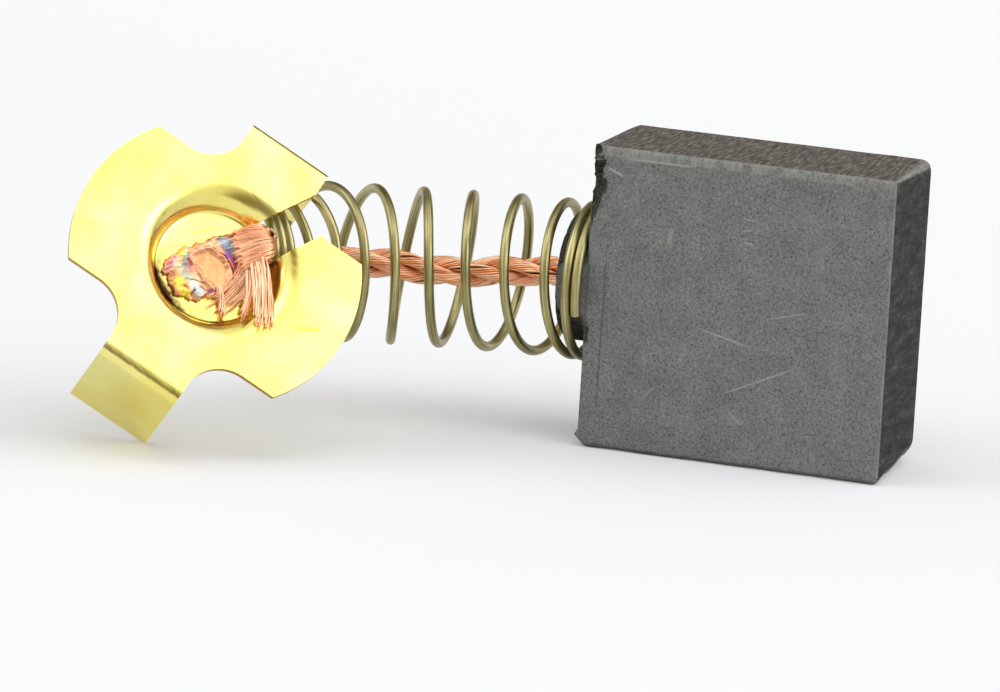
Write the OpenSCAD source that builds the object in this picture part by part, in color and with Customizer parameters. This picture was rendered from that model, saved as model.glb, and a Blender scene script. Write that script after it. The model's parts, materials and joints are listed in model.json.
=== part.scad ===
// Carbon brush for a motor: carbon block, pressure spring, twisted copper lead and a
// stamped brass terminal cap. Millimetres.
// +X runs from the spring seat to the contact face, +Y is across the block, +Z is up.
// The origin is the middle of the block's bottom face.
// The brush lies free: the spring is at its relaxed length and the cap has folded over to
// one side, so that it leans on the lower of its two tabs.

/* [Carbon block] */
// Length from the spring seat to the contact face
block_l = 17.3; // [16:0.1:19]
// Thickness between the two guide faces
block_t = 6.8; // [6.5:0.1:8]
// Height from the bottom face to the top face
block_h = 17; // [16:0.1:19]
// Radius of the turned boss that centres the spring
boss_r = 3.6; // [3:0.05:3.6]
// How far the boss stands out of the block
boss_l = 1.75; // [1.2:0.05:2]
// Radius of the hole that the lead is tamped into
hole_r = 1.6; // [1.2:0.05:2]
// Depth of that hole, from the end of the boss
hole_depth = 7; // [5:0.5:10]

/* [Pressure spring] */
// Diameter of the spring wire
wire_d = 0.55; // [0.4:0.05:0.6]
// Mean diameter of the coils
coil_d = 8.36; // [8.3:0.02:8.5]
// Pitch of the open coils
open_pitch = 2.73; // [2.5:0.01:2.8]
// Number of closed coils against the block
seat_coils = 1.9; // [1.7:0.01:2.1]
// Number of coils in all
coils = 12.36; // [12:0.01:12.6]

/* [Copper lead] */
// Diameter of one twisted bundle of wires
bundle_d = 0.81; // [0.6:0.01:0.81]
// Length in which a bundle goes once round the rope
lay = 8.85; // [8:0.05:12]
// Diameter of a bunch of loose wires at the weld
loose_d = 0.32; // [0.2:0.02:0.36]

/* [Terminal cap] */
// Thickness of the brass sheet
sheet = 0.35; // [0.3:0.05:0.45]
// Radius of the blank, out to the two lobes
cap_r = 8.13; // [7.9:0.01:8.4]
// Distance from the centre to the outer face of a tab
tab_reach = 8.13; // [7.9:0.01:8.2]
// Width of a tab
tab_w = 4.9; // [4.6:0.1:5.1]
// Height of a tab, from the front of the cap to the tab's end
tab_l = 7.34; // [7.2:0.01:7.8]
// Inside radius of the bend between the cap and a tab
bend_r = 0.1; // [0.05:0.05:0.4]
// Radius of the four scalloped corners beside the tabs
scallop_r = 2.2; // [1.6:0.1:2.3]
// Depth of the pressed recess for the weld
recess_depth = 1; // [0.9:0.05:1.1]
// Radius at which the flat of the cap turns down into the recess
recess_r = 4.6; // [4.5:0.05:4.8]
// Width of the slot that the lead comes through
slot_w = 2.2; // [2:0.05:2.4]

/* [Hidden] */
$fn = 64;
overshoot = 1;      // how far a cutter runs past what it cuts
seat_x = -block_l / 2;
contact_x = block_l / 2;
boss_x = seat_x - boss_l;
boss_z = 8.85;      // height of the boss and the lead's hole
boss_chamfer = 0.15;
boss_flat_inset = 0.05; // step from the block's sides in to the boss's flats
hole_end_x = boss_x + hole_depth;

// Wear on the block: each pair is the chamfer's legs at the near side and at the far side.
top_wear = [0.2, 1.3];
bottom_wear = [0.55, 1.15];
front_wear = 0.3;   // chamfer along the near top and bottom edges
upright_wear = 0.12;
heel_bevel = 0.55;  // bevel under the spring seat, which ends above in a small burr
heel_burr = 0.22;
// Chips out of the near edge of the spring seat: [height, radius of the broken shell].
chips = [[16.3, 0.75], [15.3, 1.15], [14.1, 0.7], [13.3, 0.5], [6.2, 0.45]];

// The spring's axis: straight off the block, then one sweep to the side behind the cap.
seat_z = 8.6;
spring_clear = 0.01;
closed_pitch = 1.02 * wire_d;
spring_bend = [[-9.65, 0, seat_z], [-11.5, 0, seat_z], [-22.1, 1.9, 7.75], [-26.2, -7.15, 9.1]];
spring_tail = 6;
first_turn = -0.06; // the wire's end on the block, in turns from the near side
steps_per_turn = 20;
end_coils = 2.8;    // closed coils at the cap's end

// Pose of the cap: its own +Z looks out of the front of the recess, +Y to the upper tab.
cap_turn = [52.19, 31.01, 13.64];
cap_x = -25.77;
cap_y = -15.5;
bend_outer = bend_r + sheet;
bend_y = tab_reach - bend_outer;
scallop_y = 4.7;    // inner edge of the scallops
cap_low = [for (x = [-1, 1]) turned([x * tab_w / 2, -tab_reach, -tab_l]).z];
cap_z = -min(cap_low);
shoulder_r = 1.5;   // outside radius of the recess's rounded lip
wall_lean = 25;     // lean of the recess's wall from upright
slot_turn = 28;     // turn of the slot from the upper tab
slot_shift = 0.16;
slot_end = 3.2;     // distance from the centre to the middle of the slot's round end

// The lead's axis: up to the cap in the part's frame, then in the cap's own frame.
bundles = 3;
rope_r = bundle_d / 2 * (1 + 2 / sqrt(3));
lead_route = concat(
    [[hole_end_x + 0.4, 0, boss_z], [-7, 0, boss_z], [boss_x, 0, boss_z], [-11.8, 0.1, 8.8],
     [-13.3, 0.2, 8.65], [-14.8, 0.1, 8.45], [-16.3, -0.05, 8.25], [-17.9, -0.4, 8.15],
     [-19.5, -0.85, 8.25], [-21.2, -1.65, 8.45], [-22.7, -2.6, 8.5], [-24.2, -4, 8.55],
     [-25.6, -5.9, 8.6]],
    [for (p = [[1.1, 3.4, -6.1], [0.8, 2.9, -4.4], [1.1, 2.7, -2.4], [1.5, 2.75, -1.1],
               [1.55, 2.7, -0.5], [1.5, 2.55, -0.05]]) on_cap(p)]);
ring_step = 0.6;
// Bunches of wires that came loose at the weld, in the cap's frame.
loose_routes = [
    [[1.1, 1.3, 0.05], [1.8, 1.05, 0.12], [2.42, 0.4, 0.16], [3, -0.6, 0.18], [3.5, -1.5, 0.18],
     [3.9, -1.9, 0.18]],
    [[1.3, 1.6, 0.15], [2.1, 1.3, 0.22], [2.9, 0.4, 0.26], [3.62, -0.5, 0.24],
     [4.18, -1.3, 0.2]],
    [[1.4, 1.95, 0.3], [2.25, 1.75, 0.4], [3.05, 1.05, 0.38], [3.9, -0.2, 0.28],
     [4.27, -0.72, 0.24]],
    [[1.5, 0.9, -0.35], [2.1, 0.2, -0.3], [2.6, -0.55, -0.3], [2.75, -1.4, -0.25],
     [2.85, -2.1, -0.1], [3, -2.7, 0.14]],
    [[0.9, -0.9, -0.6], [1.5, -1.5, -0.62], [1.85, -1.95, -0.62], [1.9, -2.3, -0.6]]];

carbon_grey = [0.36, 0.37, 0.37];
graphite_black = [0.13, 0.13, 0.13];
spring_steel = [0.54, 0.51, 0.38];
sheet_brass = [0.9, 0.8, 0.32];
lead_copper = [0.83, 0.5, 0.36];
pad_copper = [0.9, 0.6, 0.4];

// ---- points and paths ----

function unit(v) = v / norm(v);
// The part of v that is square to the unit vector t, made one long.
function across(v, t) = unit(v - (v * t) * t);
function ease(x) = let (u = min(max(x, 0), 1)) u * u * (3 - 2 * u);

function turn_x(v, a) = [v.x, v.y * cos(a) - v.z * sin(a), v.y * sin(a) + v.z * cos(a)];
function turn_y(v, a) = [v.x * cos(a) + v.z * sin(a), v.y, v.z * cos(a) - v.x * sin(a)];
function turn_z(v, a) = [v.x * cos(a) - v.y * sin(a), v.x * sin(a) + v.y * cos(a), v.z];
function turned(v) = turn_z(turn_y(turn_x(v, cap_turn.x), cap_turn.y), cap_turn.z);
function on_cap(v) = turned(v) + [cap_x, cap_y, cap_z];

function bezier(p, t) = let (s = 1 - t)
    s * s * s * p[0] + 3 * s * s * t * p[1] + 3 * s * t * t * p[2] + t * t * t * p[3];
// One piece of a smooth curve through p1 and p2.
function through(p0, p1, p2, p3, t) = 0.5 * (2 * p1 + (p2 - p0) * t
    + (2 * p0 - 5 * p1 + 4 * p2 - p3) * t * t + (3 * p1 - p0 - 3 * p2 + p3) * t * t * t);
function smoothed(route, pieces = 6) = let (n = len(route) - 1)
    [for (i = [0:n - 1]) for (j = [0:pieces - 1])
        through(route[max(i - 1, 0)], route[i], route[i + 1], route[min(i + 2, n)], j / pieces),
     route[n]];

function directions(path) = let (n = len(path) - 1)
    [for (i = [0:n]) unit(path[min(i + 1, n)] - path[max(i - 1, 0)])];
function lengths(path) = let (n = len(path) - 1)
    [for (i = 0, s = 0; i <= n; s = s + (i < n ? norm(path[i + 1] - path[i]) : 0), i = i + 1) s];
// Three lookup tables, one a coordinate, from the length along the path.
function table(path) = let (s = lengths(path))
    [for (k = [0:2]) [for (i = [0:len(path) - 1]) [s[i], path[i][k]]]];
function at(tab, s) = [for (k = [0:2]) lookup(s, tab[k])];
function heading(tab, s, reach = 0.3) = unit(at(tab, s + reach) - at(tab, s - reach));
// The same route in even steps.
function stepped(route, step) = let (tab = table(smoothed(route)),
    whole = last_length(tab), n = ceil(whole / step))
    [for (i = [0:n]) at(tab, whole * i / n)];
function last_length(tab) = tab[0][len(tab[0]) - 1][0];

// A tube along a path. refs are vectors off the path that fix where each ring starts.
module tube(path, refs, radii, sides) {
    dirs = directions(path);
    last = len(path) - 1;
    points = [for (i = [0:last]) let (u = across(refs[i], dirs[i]), v = cross(dirs[i], u))
        for (k = [0:sides - 1])
            path[i] + radii[i] * (cos(360 * k / sides) * u + sin(360 * k / sides) * v)];
    ends = [[for (k = [0:sides - 1]) k], [for (k = [sides - 1:-1:0]) last * sides + k]];
    walls = [for (i = [0:last - 1]) for (k = [0:sides - 1])
        let (a = i * sides + k, b = i * sides + (k + 1) % sides)
        each [[a, a + sides, b + sides], [a, b + sides, b]]];
    polyhedron(points, concat(ends, walls));
}

// ---- the carbon block ----

// Cuts away everything on the side of a plane through p that the normal n points to.
module beyond(p, n) {
    size = 4 * block_l;
    translate(p) rotate([0, acos(n.z / norm(n)), atan2(n.y, n.x)])
        translate([-size / 2, -size / 2, 0]) cube(size);
}

module block_side() {
    polygon([[seat_x + heel_bevel, 0], [contact_x, 0], [contact_x, block_h], [seat_x, block_h],
             [seat_x, heel_bevel + 2 * heel_burr], [seat_x - heel_burr, heel_bevel + heel_burr / 2]]);
}

module block_body() {
    near_y = -block_t / 2;
    difference() {
        rotate([90, 0, 0]) linear_extrude(block_t, center = true) block_side();
        beyond([contact_x - top_wear[0], near_y, block_h],
               [1, (top_wear[1] - top_wear[0]) / block_t, 1]);
        beyond([contact_x - bottom_wear[0], near_y, 0],
               [1, (bottom_wear[1] - bottom_wear[0]) / block_t, -1]);
        beyond([contact_x - upright_wear, near_y, 0], [1, -1, 0]);
        beyond([0, near_y + front_wear, block_h], [0, -1, 1]);
        beyond([0, near_y + front_wear, 0], [0, -1, -1]);
        for (chip = chips)
            translate([seat_x - 0.09 * chip[1], near_y - 0.56 * chip[1], chip[0]])
                sphere(r = chip[1]);
    }
}

module boss() {
    intersection() {
        translate([seat_x + overshoot, 0, boss_z]) rotate([0, -90, 0]) {
            cylinder(r = boss_r, h = boss_l - boss_chamfer + overshoot);
            translate([0, 0, boss_l - boss_chamfer + overshoot])
                cylinder(r1 = boss_r, r2 = boss_r - boss_chamfer, h = boss_chamfer);
        }
        translate([boss_x - overshoot, boss_flat_inset - block_t / 2, 0])
            cube([2 * block_l, block_t - 2 * boss_flat_inset, block_h]);
    }
}

module carbon_block() {
    color(carbon_grey) difference() {
        union() {
            block_body();
            boss();
        }
        translate([boss_x - overshoot, 0, boss_z]) rotate([0, 90, 0])
            cylinder(r = hole_r, h = hole_depth + overshoot);
    }
}

// Graphite powder that is rammed into the hole round the lead.
module tamping_plug() {
    dish = 0.3;
    color(graphite_black) difference() {
        translate([boss_x + dish, 0, boss_z]) rotate([0, 90, 0])
            cylinder(r = hole_r, h = hole_depth - dish);
        translate([boss_x - overshoot, 0, boss_z]) rotate([0, 90, 0])
            cylinder(r = rope_r, h = hole_depth + 2 * overshoot);
    }
}

// ---- the pressure spring ----

function turn_pitch(t) = closed_pitch + (open_pitch - closed_pitch)
    * ease(t - first_turn - seat_coils + 0.5)
    * (1 - ease((t - first_turn - coils + end_coils + 0.3) / 0.6));

module pressure_spring() {
    tail = spring_bend[3] + spring_tail * unit(spring_bend[3] - spring_bend[2]);
    axis = table(concat([[seat_x, 0, seat_z]], [for (i = [0:60]) bezier(spring_bend, i / 60)],
                        [tail]));
    n = round(coils * steps_per_turn);
    turns = [for (i = [0:n]) first_turn + coils * i / n];
    step = coils / n;
    heights = [for (i = 0, s = wire_d / 2 + spring_clear; i <= n;
                    s = s + step * turn_pitch(first_turn + (i + 0.5) * step), i = i + 1) s];
    out = [for (i = [0:n])
        let (dir = heading(axis, heights[i]), up = across([0, 0, 1], dir), a = 360 * turns[i] - 90)
        cos(a) * up + sin(a) * cross(dir, up)];
    color(spring_steel) tube([for (i = [0:n]) at(axis, heights[i]) + coil_d / 2 * out[i]], out,
                             [for (i = [0:n]) wire_d / 2], 8);
}

// ---- the terminal cap ----

module place_cap() {
    translate([cap_x, cap_y, cap_z]) rotate(cap_turn) children();
}

// Half section of the sheet, pressed down round the weld.
module cap_section() {
    fall = recess_depth - shoulder_r * (1 - sin(wall_lean));
    floor_r = recess_r - shoulder_r * cos(wall_lean) - fall * tan(wall_lean);
    under_fall = fall + sheet * (1 - sin(wall_lean));
    under_r = recess_r - (shoulder_r - sheet) * cos(wall_lean) - under_fall * tan(wall_lean);
    lip = [for (a = [0:5:90 - wall_lean]) [sin(a), cos(a)]];
    polygon(concat(
        [[0, -recess_depth], [floor_r, -recess_depth]],
        [for (i = [len(lip) - 1:-1:0])
            [recess_r - shoulder_r * lip[i].x, shoulder_r * (lip[i].y - 1)]],
        [[cap_r, 0], [cap_r, -sheet]],
        [for (p = lip) [recess_r - (shoulder_r - sheet) * p.x,
                        (shoulder_r - sheet) * p.y - shoulder_r]],
        [[under_r, -recess_depth - sheet], [0, -recess_depth - sheet]]));
}

// One scallop, whose straight sides run off the blank.
module scallop() {
    translate([tab_w / 2 + scallop_r, scallop_y + scallop_r]) {
        circle(r = scallop_r);
        translate([-scallop_r, 0]) square(cap_r);
        translate([0, -scallop_r]) square(cap_r);
    }
}

// One tab's section: its root in the blank, the bend and the straight part.
module tab_section() {
    translate([bend_y - sheet, -sheet]) square(sheet);
    translate([bend_y, -bend_outer]) intersection() {
        difference() {
            circle(r = bend_outer);
            circle(r = bend_r);
        }
        square(bend_outer);
    }
    translate([tab_reach - sheet, -tab_l]) square([sheet, tab_l - bend_outer]);
}

module tab() {
    translate([-tab_w / 2, 0, 0]) rotate([90, 0, 90]) linear_extrude(tab_w) tab_section();
}

module cap_cuts() {
    depth = recess_depth + sheet + 2 * overshoot;
    translate([0, 0, overshoot - depth]) linear_extrude(depth) {
        for (x = [0, 1], y = [0, 1]) mirror([x, 0]) mirror([0, y]) scallop();
        for (y = [0, 1]) mirror([0, y]) translate([-cap_r, bend_y]) square(2 * cap_r);
        rotate(-slot_turn) translate([slot_shift, slot_end]) {
            circle(d = slot_w);
            translate([-slot_w / 2, 0]) square([slot_w, cap_r]);
        }
    }
}

module terminal_cap() {
    color(sheet_brass) place_cap() {
        difference() {
            rotate_extrude() cap_section();
            cap_cuts();
        }
        for (y = [0, 1]) mirror([0, y, 0]) tab();
    }
}

// ---- the copper lead ----

// The lead's fused end: folded over the slot's lip and pressed flat in the recess.
module welded_form() {
    pad_t = 0.4;
    place_cap() {
        translate([0, 0, -recess_depth]) linear_extrude(pad_t) offset(r = 0.25)
            polygon([[0.1, 2.3], [-1.6, 0.15], [-2.1, -1.6], [-0.9, -2.3], [0.8, -1.8],
                     [1.6, -0.3], [1.75, 1.4]]);
        hull() {
            translate([0.3, 0.6, 0.1 - recess_depth]) cylinder(r = 1.1, h = pad_t, $fn = 24);
            translate([0.95, 1.6, -0.35]) sphere(r = 0.65, $fn = 16);
        }
        hull() {
            translate([0.95, 1.6, -0.35]) sphere(r = 0.65, $fn = 16);
            translate([1.5, 2.6, -0.15]) sphere(r = 0.7, $fn = 16);
        }
    }
}

module welded_end() {
    color(pad_copper) welded_form();
}

module lead_bundle(i) {
    path = stepped(lead_route, ring_step);
    dirs = directions(path);
    off = bundle_d / sqrt(3);
    out = [for (j = [0:len(path) - 1])
        let (up = across([0, 0, 1], dirs[j]), a = 360 * (j * ring_step / lay + i / bundles))
        cos(a) * up + sin(a) * cross(dirs[j], up)];
    color(lead_copper) difference() {
        tube([for (j = [0:len(path) - 1]) path[j] + off * out[j]], out,
             [for (p = path) bundle_d / 2], 10);
        welded_form();
        beyond([hole_end_x, 0, 0], [1, 0, 0]);
    }
}

module loose_wires(i) {
    path = stepped(loose_routes[i - 1], 2 * loose_d);
    color(lead_copper) difference() {
        place_cap() tube(path, [for (p = path) [0, 0, 1]], [for (p = path) loose_d / 2], 6);
        welded_form();
    }
}

carbon_block();
tamping_plug();
pressure_spring();
terminal_cap();
welded_end();
for (i = [1:bundles])
    lead_bundle(i);
for (i = [1:len(loose_routes)])
    loose_wires(i);
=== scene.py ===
"""Carbon brush: carbon block, pressure spring, twisted copper lead and brass terminal cap.

Sizes are in millimetres and become metres where a mesh is made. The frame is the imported
part's: +X from the spring seat to the contact face, +Y across the block, +Z up.
"""
import itertools
import json
import math
from functools import partial

import bmesh
import bpy
import numpy as np
from mathutils import Matrix, Vector
from mathutils.geometry import delaunay_2d_cdt


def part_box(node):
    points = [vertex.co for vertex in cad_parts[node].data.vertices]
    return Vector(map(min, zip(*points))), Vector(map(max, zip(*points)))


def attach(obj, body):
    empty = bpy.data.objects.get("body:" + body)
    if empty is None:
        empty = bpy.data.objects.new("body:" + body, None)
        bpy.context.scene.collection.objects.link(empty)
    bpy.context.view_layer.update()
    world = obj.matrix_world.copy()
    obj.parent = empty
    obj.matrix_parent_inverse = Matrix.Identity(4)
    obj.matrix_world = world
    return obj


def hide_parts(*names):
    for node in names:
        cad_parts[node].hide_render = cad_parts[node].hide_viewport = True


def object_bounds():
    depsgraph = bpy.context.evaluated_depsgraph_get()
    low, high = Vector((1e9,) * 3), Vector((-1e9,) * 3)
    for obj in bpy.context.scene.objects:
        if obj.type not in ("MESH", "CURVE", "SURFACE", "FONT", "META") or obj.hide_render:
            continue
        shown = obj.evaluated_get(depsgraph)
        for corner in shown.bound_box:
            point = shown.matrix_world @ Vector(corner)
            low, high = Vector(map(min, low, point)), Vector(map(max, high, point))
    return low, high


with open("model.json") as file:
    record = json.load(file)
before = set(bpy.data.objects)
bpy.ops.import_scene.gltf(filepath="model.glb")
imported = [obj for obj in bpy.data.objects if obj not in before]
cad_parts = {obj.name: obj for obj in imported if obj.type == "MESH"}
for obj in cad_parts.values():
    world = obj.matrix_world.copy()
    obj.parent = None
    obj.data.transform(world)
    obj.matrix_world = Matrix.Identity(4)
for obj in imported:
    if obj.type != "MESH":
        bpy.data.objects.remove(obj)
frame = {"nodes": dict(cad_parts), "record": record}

CAD_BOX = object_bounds()
MM = 0.001
SEED = 7


# ---- sizes ----

def mount(name):
    """A mount's place in millimetres and its axis."""
    found = next(m for m in frame["record"]["mounts"] if m["name"] == name)
    return np.array(found["pos_m"]) / MM, np.array(found["axis"])


# Carbon block.
CONTACT_X = mount("contact_face")[0][0]
SEAT_X = -CONTACT_X
NEAR_Y = mount("guide_face_near")[0][1]
FAR_Y = mount("guide_face_far")[0][1]
TOP_Z = mount("top_face")[0][2]
BOSS_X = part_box("carbon_block")[0][0] / MM
BOSS_Z = 8.85
BOSS_R = 3.6
BOSS_FLAT = FAR_Y - 0.05
HOLE_R = 1.6
HEEL_BEVEL = 0.55
HEEL_BURR = 0.22
# Chips out of the near edge of the spring seat: height and radius of the broken shell.
CHIPS = [(16.5, 0.8), (15.7, 0.95), (14.9, 1.3), (14.1, 0.9), (13.2, 0.55), (12.6, 0.35),
         (6.7, 0.4), (6.1, 0.5)]

# Pressure spring. Its turns are counted from the block, and cut back by this part of one.
WIRE_D = 0.55
COIL_R = 4.18
OPEN_PITCH = 2.73
CLOSED_PITCH = 1.02 * WIRE_D
SEAT_COILS = 1.9
COILS = 12.36
END_COILS = 2.8
FIRST_TURN = -0.06
CUT_BACK = 0.017
SPRING_Z = 8.6
SPRING_BEND = [(-9.65, 0, SPRING_Z), (-11.5, 0, SPRING_Z), (-22.1, 1.9, 7.75), (-26.2, -7.15, 9.1)]
SPRING_TAIL = 6

# Terminal cap, in its own frame: +Y to the upper tab, +Z out of the front of the recess.
SHEET = 0.35
CAP_R = 8.13
TAB_REACH = 8.13
TAB_W = 4.9
TAB_L = 7.34
BEND_R = 0.1
BEND_OUTER = BEND_R + SHEET
BEND_Y = TAB_REACH - BEND_OUTER
# The sheet begins to lean this far before a bend.
BEND_LEAD = 0.55
SCALLOP_R = 2.2
SCALLOP_Y = 4.7
RECESS_DEPTH = 1.0
LIP_R = 5.1
FOOT_R = 3.2
WALL_LEAN = math.radians(25)
SLOT_W = 2.2
SLOT_TURN = math.radians(28)
SLOT_SHIFT = 0.16
SLOT_END = 3.2

# Copper lead.
BUNDLE_D = 0.81
BUNDLES = 3
LAY = 8.85

tab_point, tab_out = mount("lower_tab_face")
CAP_N = mount("terminal_face")[1]
CAP_U = -tab_out
CAP_B = np.cross(CAP_U, CAP_N)
CAP_TURN = np.stack([CAP_B, CAP_U, CAP_N], axis=1)
CAP_CENTRE = tab_point + TAB_REACH * CAP_U + 4 * CAP_N


def on_cap(points):
    """Points of the cap's own frame, moved to the part's frame."""
    return np.asarray(points, float) @ CAP_TURN.T + CAP_CENTRE


# The lead's axis: in the part's frame up to the cap, then in the cap's own frame.
LEAD_ROUTE = np.concatenate([
    [(-8.7, 0, 8.85), (BOSS_X, 0, 8.85), (-11.8, 0.1, 8.8), (-13.3, 0.2, 8.65),
     (-14.8, 0.1, 8.45), (-16.3, -0.05, 8.25), (-17.9, -0.4, 8.15), (-19.5, -0.85, 8.25),
     (-21.2, -1.65, 8.45), (-22.7, -2.6, 8.5), (-24.2, -4, 8.55), (-25.6, -5.9, 8.6)],
    on_cap([(1.1, 3.4, -6.1), (0.8, 2.9, -4.4), (1.1, 2.7, -2.4), (1.5, 2.75, -1.1),
            (1.55, 2.7, -0.5), (1.5, 2.55, -0.05)])])
# Bunches of wires that came loose at the weld, in the cap's frame.
LOOSE_ROUTES = [
    [(1.5, 1.1, 0), (1.75, 0.98, 0.05), (2.12, 0.55, 0.12), (2.5, 0.08, 0.15),
     (3, -0.62, 0.17), (3.45, -1.3, 0.17), (3.75, -1.85, 0.17), (3.9, -2.12, 0.16)],
    [(1.6, 1.4, 0.1), (1.95, 1.2, 0.16), (2.38, 0.75, 0.24), (2.82, 0.18, 0.26),
     (3.32, -0.5, 0.24), (3.8, -1.2, 0.2), (4.1, -1.7, 0.19), (4.25, -1.95, 0.18)],
    [(1.7, 1.75, 0.2), (2.15, 1.45, 0.28), (2.6, 1, 0.34), (3.08, 0.38, 0.34),
     (3.56, -0.25, 0.28), (4.05, -0.95, 0.21), (4.35, -1.4, 0.18), (4.55, -1.7, 0.18)],
    [(1.7, 0.75, -0.3), (2.15, 0.1, -0.3), (2.55, -0.55, -0.3), (2.75, -1.2, -0.25),
     (2.85, -1.75, -0.16), (2.92, -2.15, -0.05)],
    [(0.9, -0.9, -0.6), (1.5, -1.5, -0.66), (1.8, -1.95, -0.7), (1.9, -2.3, -0.72)]]


# ---- curves and noise ----

def ease(x):
    """0 up to x = 0, 1 from x = 1 on, and smooth between."""
    u = np.clip(x, 0, 1)
    return u * u * (3 - 2 * u)


def noise(points, size, seed):
    """Smooth noise from -1 to 1 with lumps about size across."""
    scaled = np.asarray(points, float) / size + 500
    cell = np.floor(scaled).astype(int)
    part = ease(scaled - cell)
    table = np.random.default_rng(seed).uniform(-1, 1, (64, 64, 64))
    total = np.zeros(len(scaled))
    for corner in itertools.product((0, 1), repeat=3):
        weight = np.prod(np.where(corner, part, 1 - part), axis=1)
        i, j, k = ((cell + corner) % 64).T
        total += weight * table[i, j, k]
    return total


def smoothed(route, pieces=8):
    """A smooth curve through every point of a route."""
    route = np.asarray(route, float)
    padded = np.concatenate([route[:1], route, route[-1:]])
    t = np.linspace(0, 1, pieces, endpoint=False)[:, None]
    curve = []
    for p0, p1, p2, p3 in zip(padded, padded[1:], padded[2:], padded[3:]):
        curve.append(0.5 * (2 * p1 + (p2 - p0) * t + (2 * p0 - 5 * p1 + 4 * p2 - p3) * t * t
                            + (3 * p1 - p0 - 3 * p2 + p3) * t ** 3))
    return np.concatenate(curve + [route[-1:]])


def bezier(p, t):
    """Points of a cubic curve with four handles."""
    s = 1 - t[:, None]
    t = t[:, None]
    return s ** 3 * p[0] + 3 * s * s * t * p[1] + 3 * s * t * t * p[2] + t ** 3 * p[3]


def spaced(low, high, fine, edge, coarse):
    """Values from low to high, close together within edge of each end."""
    near = np.arange(0, edge, fine)
    middle = np.linspace(edge, high - low - edge, max(2, round((high - low - 2 * edge) / coarse)))
    return low + np.concatenate([near, middle, high - low - near[::-1]])


# ---- meshes ----

def new_mesh(name, points, faces, smooth_angle=None):
    """A mesh from points in millimetres, with its doubles merged and its faces outwards."""
    mesh = bpy.data.meshes.new(name)
    mesh.from_pydata((np.asarray(points) * MM).tolist(), [], [tuple(map(int, f)) for f in faces])
    work = bmesh.new()
    work.from_mesh(mesh)
    bmesh.ops.remove_doubles(work, verts=work.verts, dist=1e-7)
    bmesh.ops.recalc_face_normals(work, faces=work.faces)
    work.to_mesh(mesh)
    work.free()
    mesh.shade_smooth()
    if smooth_angle:
        mesh.set_sharp_from_angle(angle=math.radians(smooth_angle))
    return mesh


def mesh_points(mesh):
    """A mesh's vertices in millimetres."""
    flat = np.empty(3 * len(mesh.vertices))
    mesh.vertices.foreach_get("co", flat)
    return flat.reshape(-1, 3) / MM


def set_value(mesh, name, values, on="POINT"):
    """Store one number for each vertex or each face."""
    layer = mesh.attributes.new(name, "FLOAT", on)
    layer.data.foreach_set("value", np.asarray(values, np.float32))


def carried(mesh, points, values, missing=0):
    """The values of the points that a mesh was made from, in the order of its vertices."""
    lookup = {tuple(p): v for p, v in zip(np.round(points, 3).tolist(), values)}
    return [lookup.get(tuple(p), missing) for p in np.round(mesh_points(mesh), 3).tolist()]


def put_on(mesh, name, material, slot, *nodes):
    """Make a finished piece of a mesh: it rides on the root and stands for CAD nodes."""
    piece = bpy.data.objects.new(name, mesh)
    bpy.context.scene.collection.objects.link(piece)
    mesh.materials.clear()
    mesh.materials.append(material)
    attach(piece, "root")
    if nodes:
        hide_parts(*nodes)
    return piece


def grid_faces(rows, columns, start=0):
    """Quads of a grid whose points are numbered row by row."""
    i, j = np.meshgrid(np.arange(rows - 1), np.arange(columns - 1), indexing="ij")
    a = (start + i * columns + j).ravel()
    return np.stack([a, a + 1, a + columns + 1, a + columns], axis=1)


def turned_profile(profile, sides):
    """Points and faces of a closed profile of (x, r), which starts and ends at r = 0."""
    profile = np.asarray(profile, float)
    angle = np.linspace(0, 2 * math.pi, sides + 1)
    x = np.repeat(profile[:, 0], sides + 1)
    r = np.repeat(profile[:, 1], sides + 1)
    a = np.tile(angle, len(profile))
    return np.stack([x, r * np.cos(a), r * np.sin(a)], axis=1), grid_faces(len(profile), sides + 1)


# ---- node trees ----

def linear(colour):
    """An sRGB hex colour as linear RGBA."""
    parts = [int(colour[i:i + 2], 16) / 255 for i in (1, 3, 5)]
    return [c / 12.92 if c <= 0.04045 else ((c + 0.055) / 1.055) ** 2.4 for c in parts] + [1]


def add(tree, kind, links=(), stops=(), **settings):
    """Add a node. A kind without Node in it is a shader node. Its operation or, where it has
    none, its data type may follow it.

    links gives its inputs values, hex colours, or the nodes and sockets that feed them: by
    name, the first one alone, or the first ones in order. MapRange's order is value, from
    min, from max, to min and to max.
    """
    kind, _, choice = kind.partition(" ")
    node = tree.nodes.new(kind if "Node" in kind else "ShaderNode" + kind)
    if choice:
        settings["operation" if hasattr(node, "operation") else "data_type"] = choice
    for name, value in settings.items():
        setattr(node, name, value)
    if not isinstance(links, dict):
        links = dict(enumerate(links if isinstance(links, tuple) else (links,)))
    for name, value in links.items():
        if isinstance(value, str) and value.startswith("#"):
            value = linear(value)
        socket = node.inputs[name]
        if isinstance(name, str):
            socket = next(s for s in node.inputs if s.name == name and s.enabled)
        if isinstance(value, bpy.types.Node):
            value = next(s for s in value.outputs if s.enabled)
        if isinstance(value, bpy.types.NodeSocket):
            tree.links.new(value, socket)
        else:
            socket.default_value = value
    if stops:
        ramp = node.color_ramp
        while len(ramp.elements) < len(stops):
            ramp.elements.new(0.5)
        for element, (place, colour) in zip(ramp.elements, stops):
            element.position = place
            element.color = linear(colour)
    return node


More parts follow.
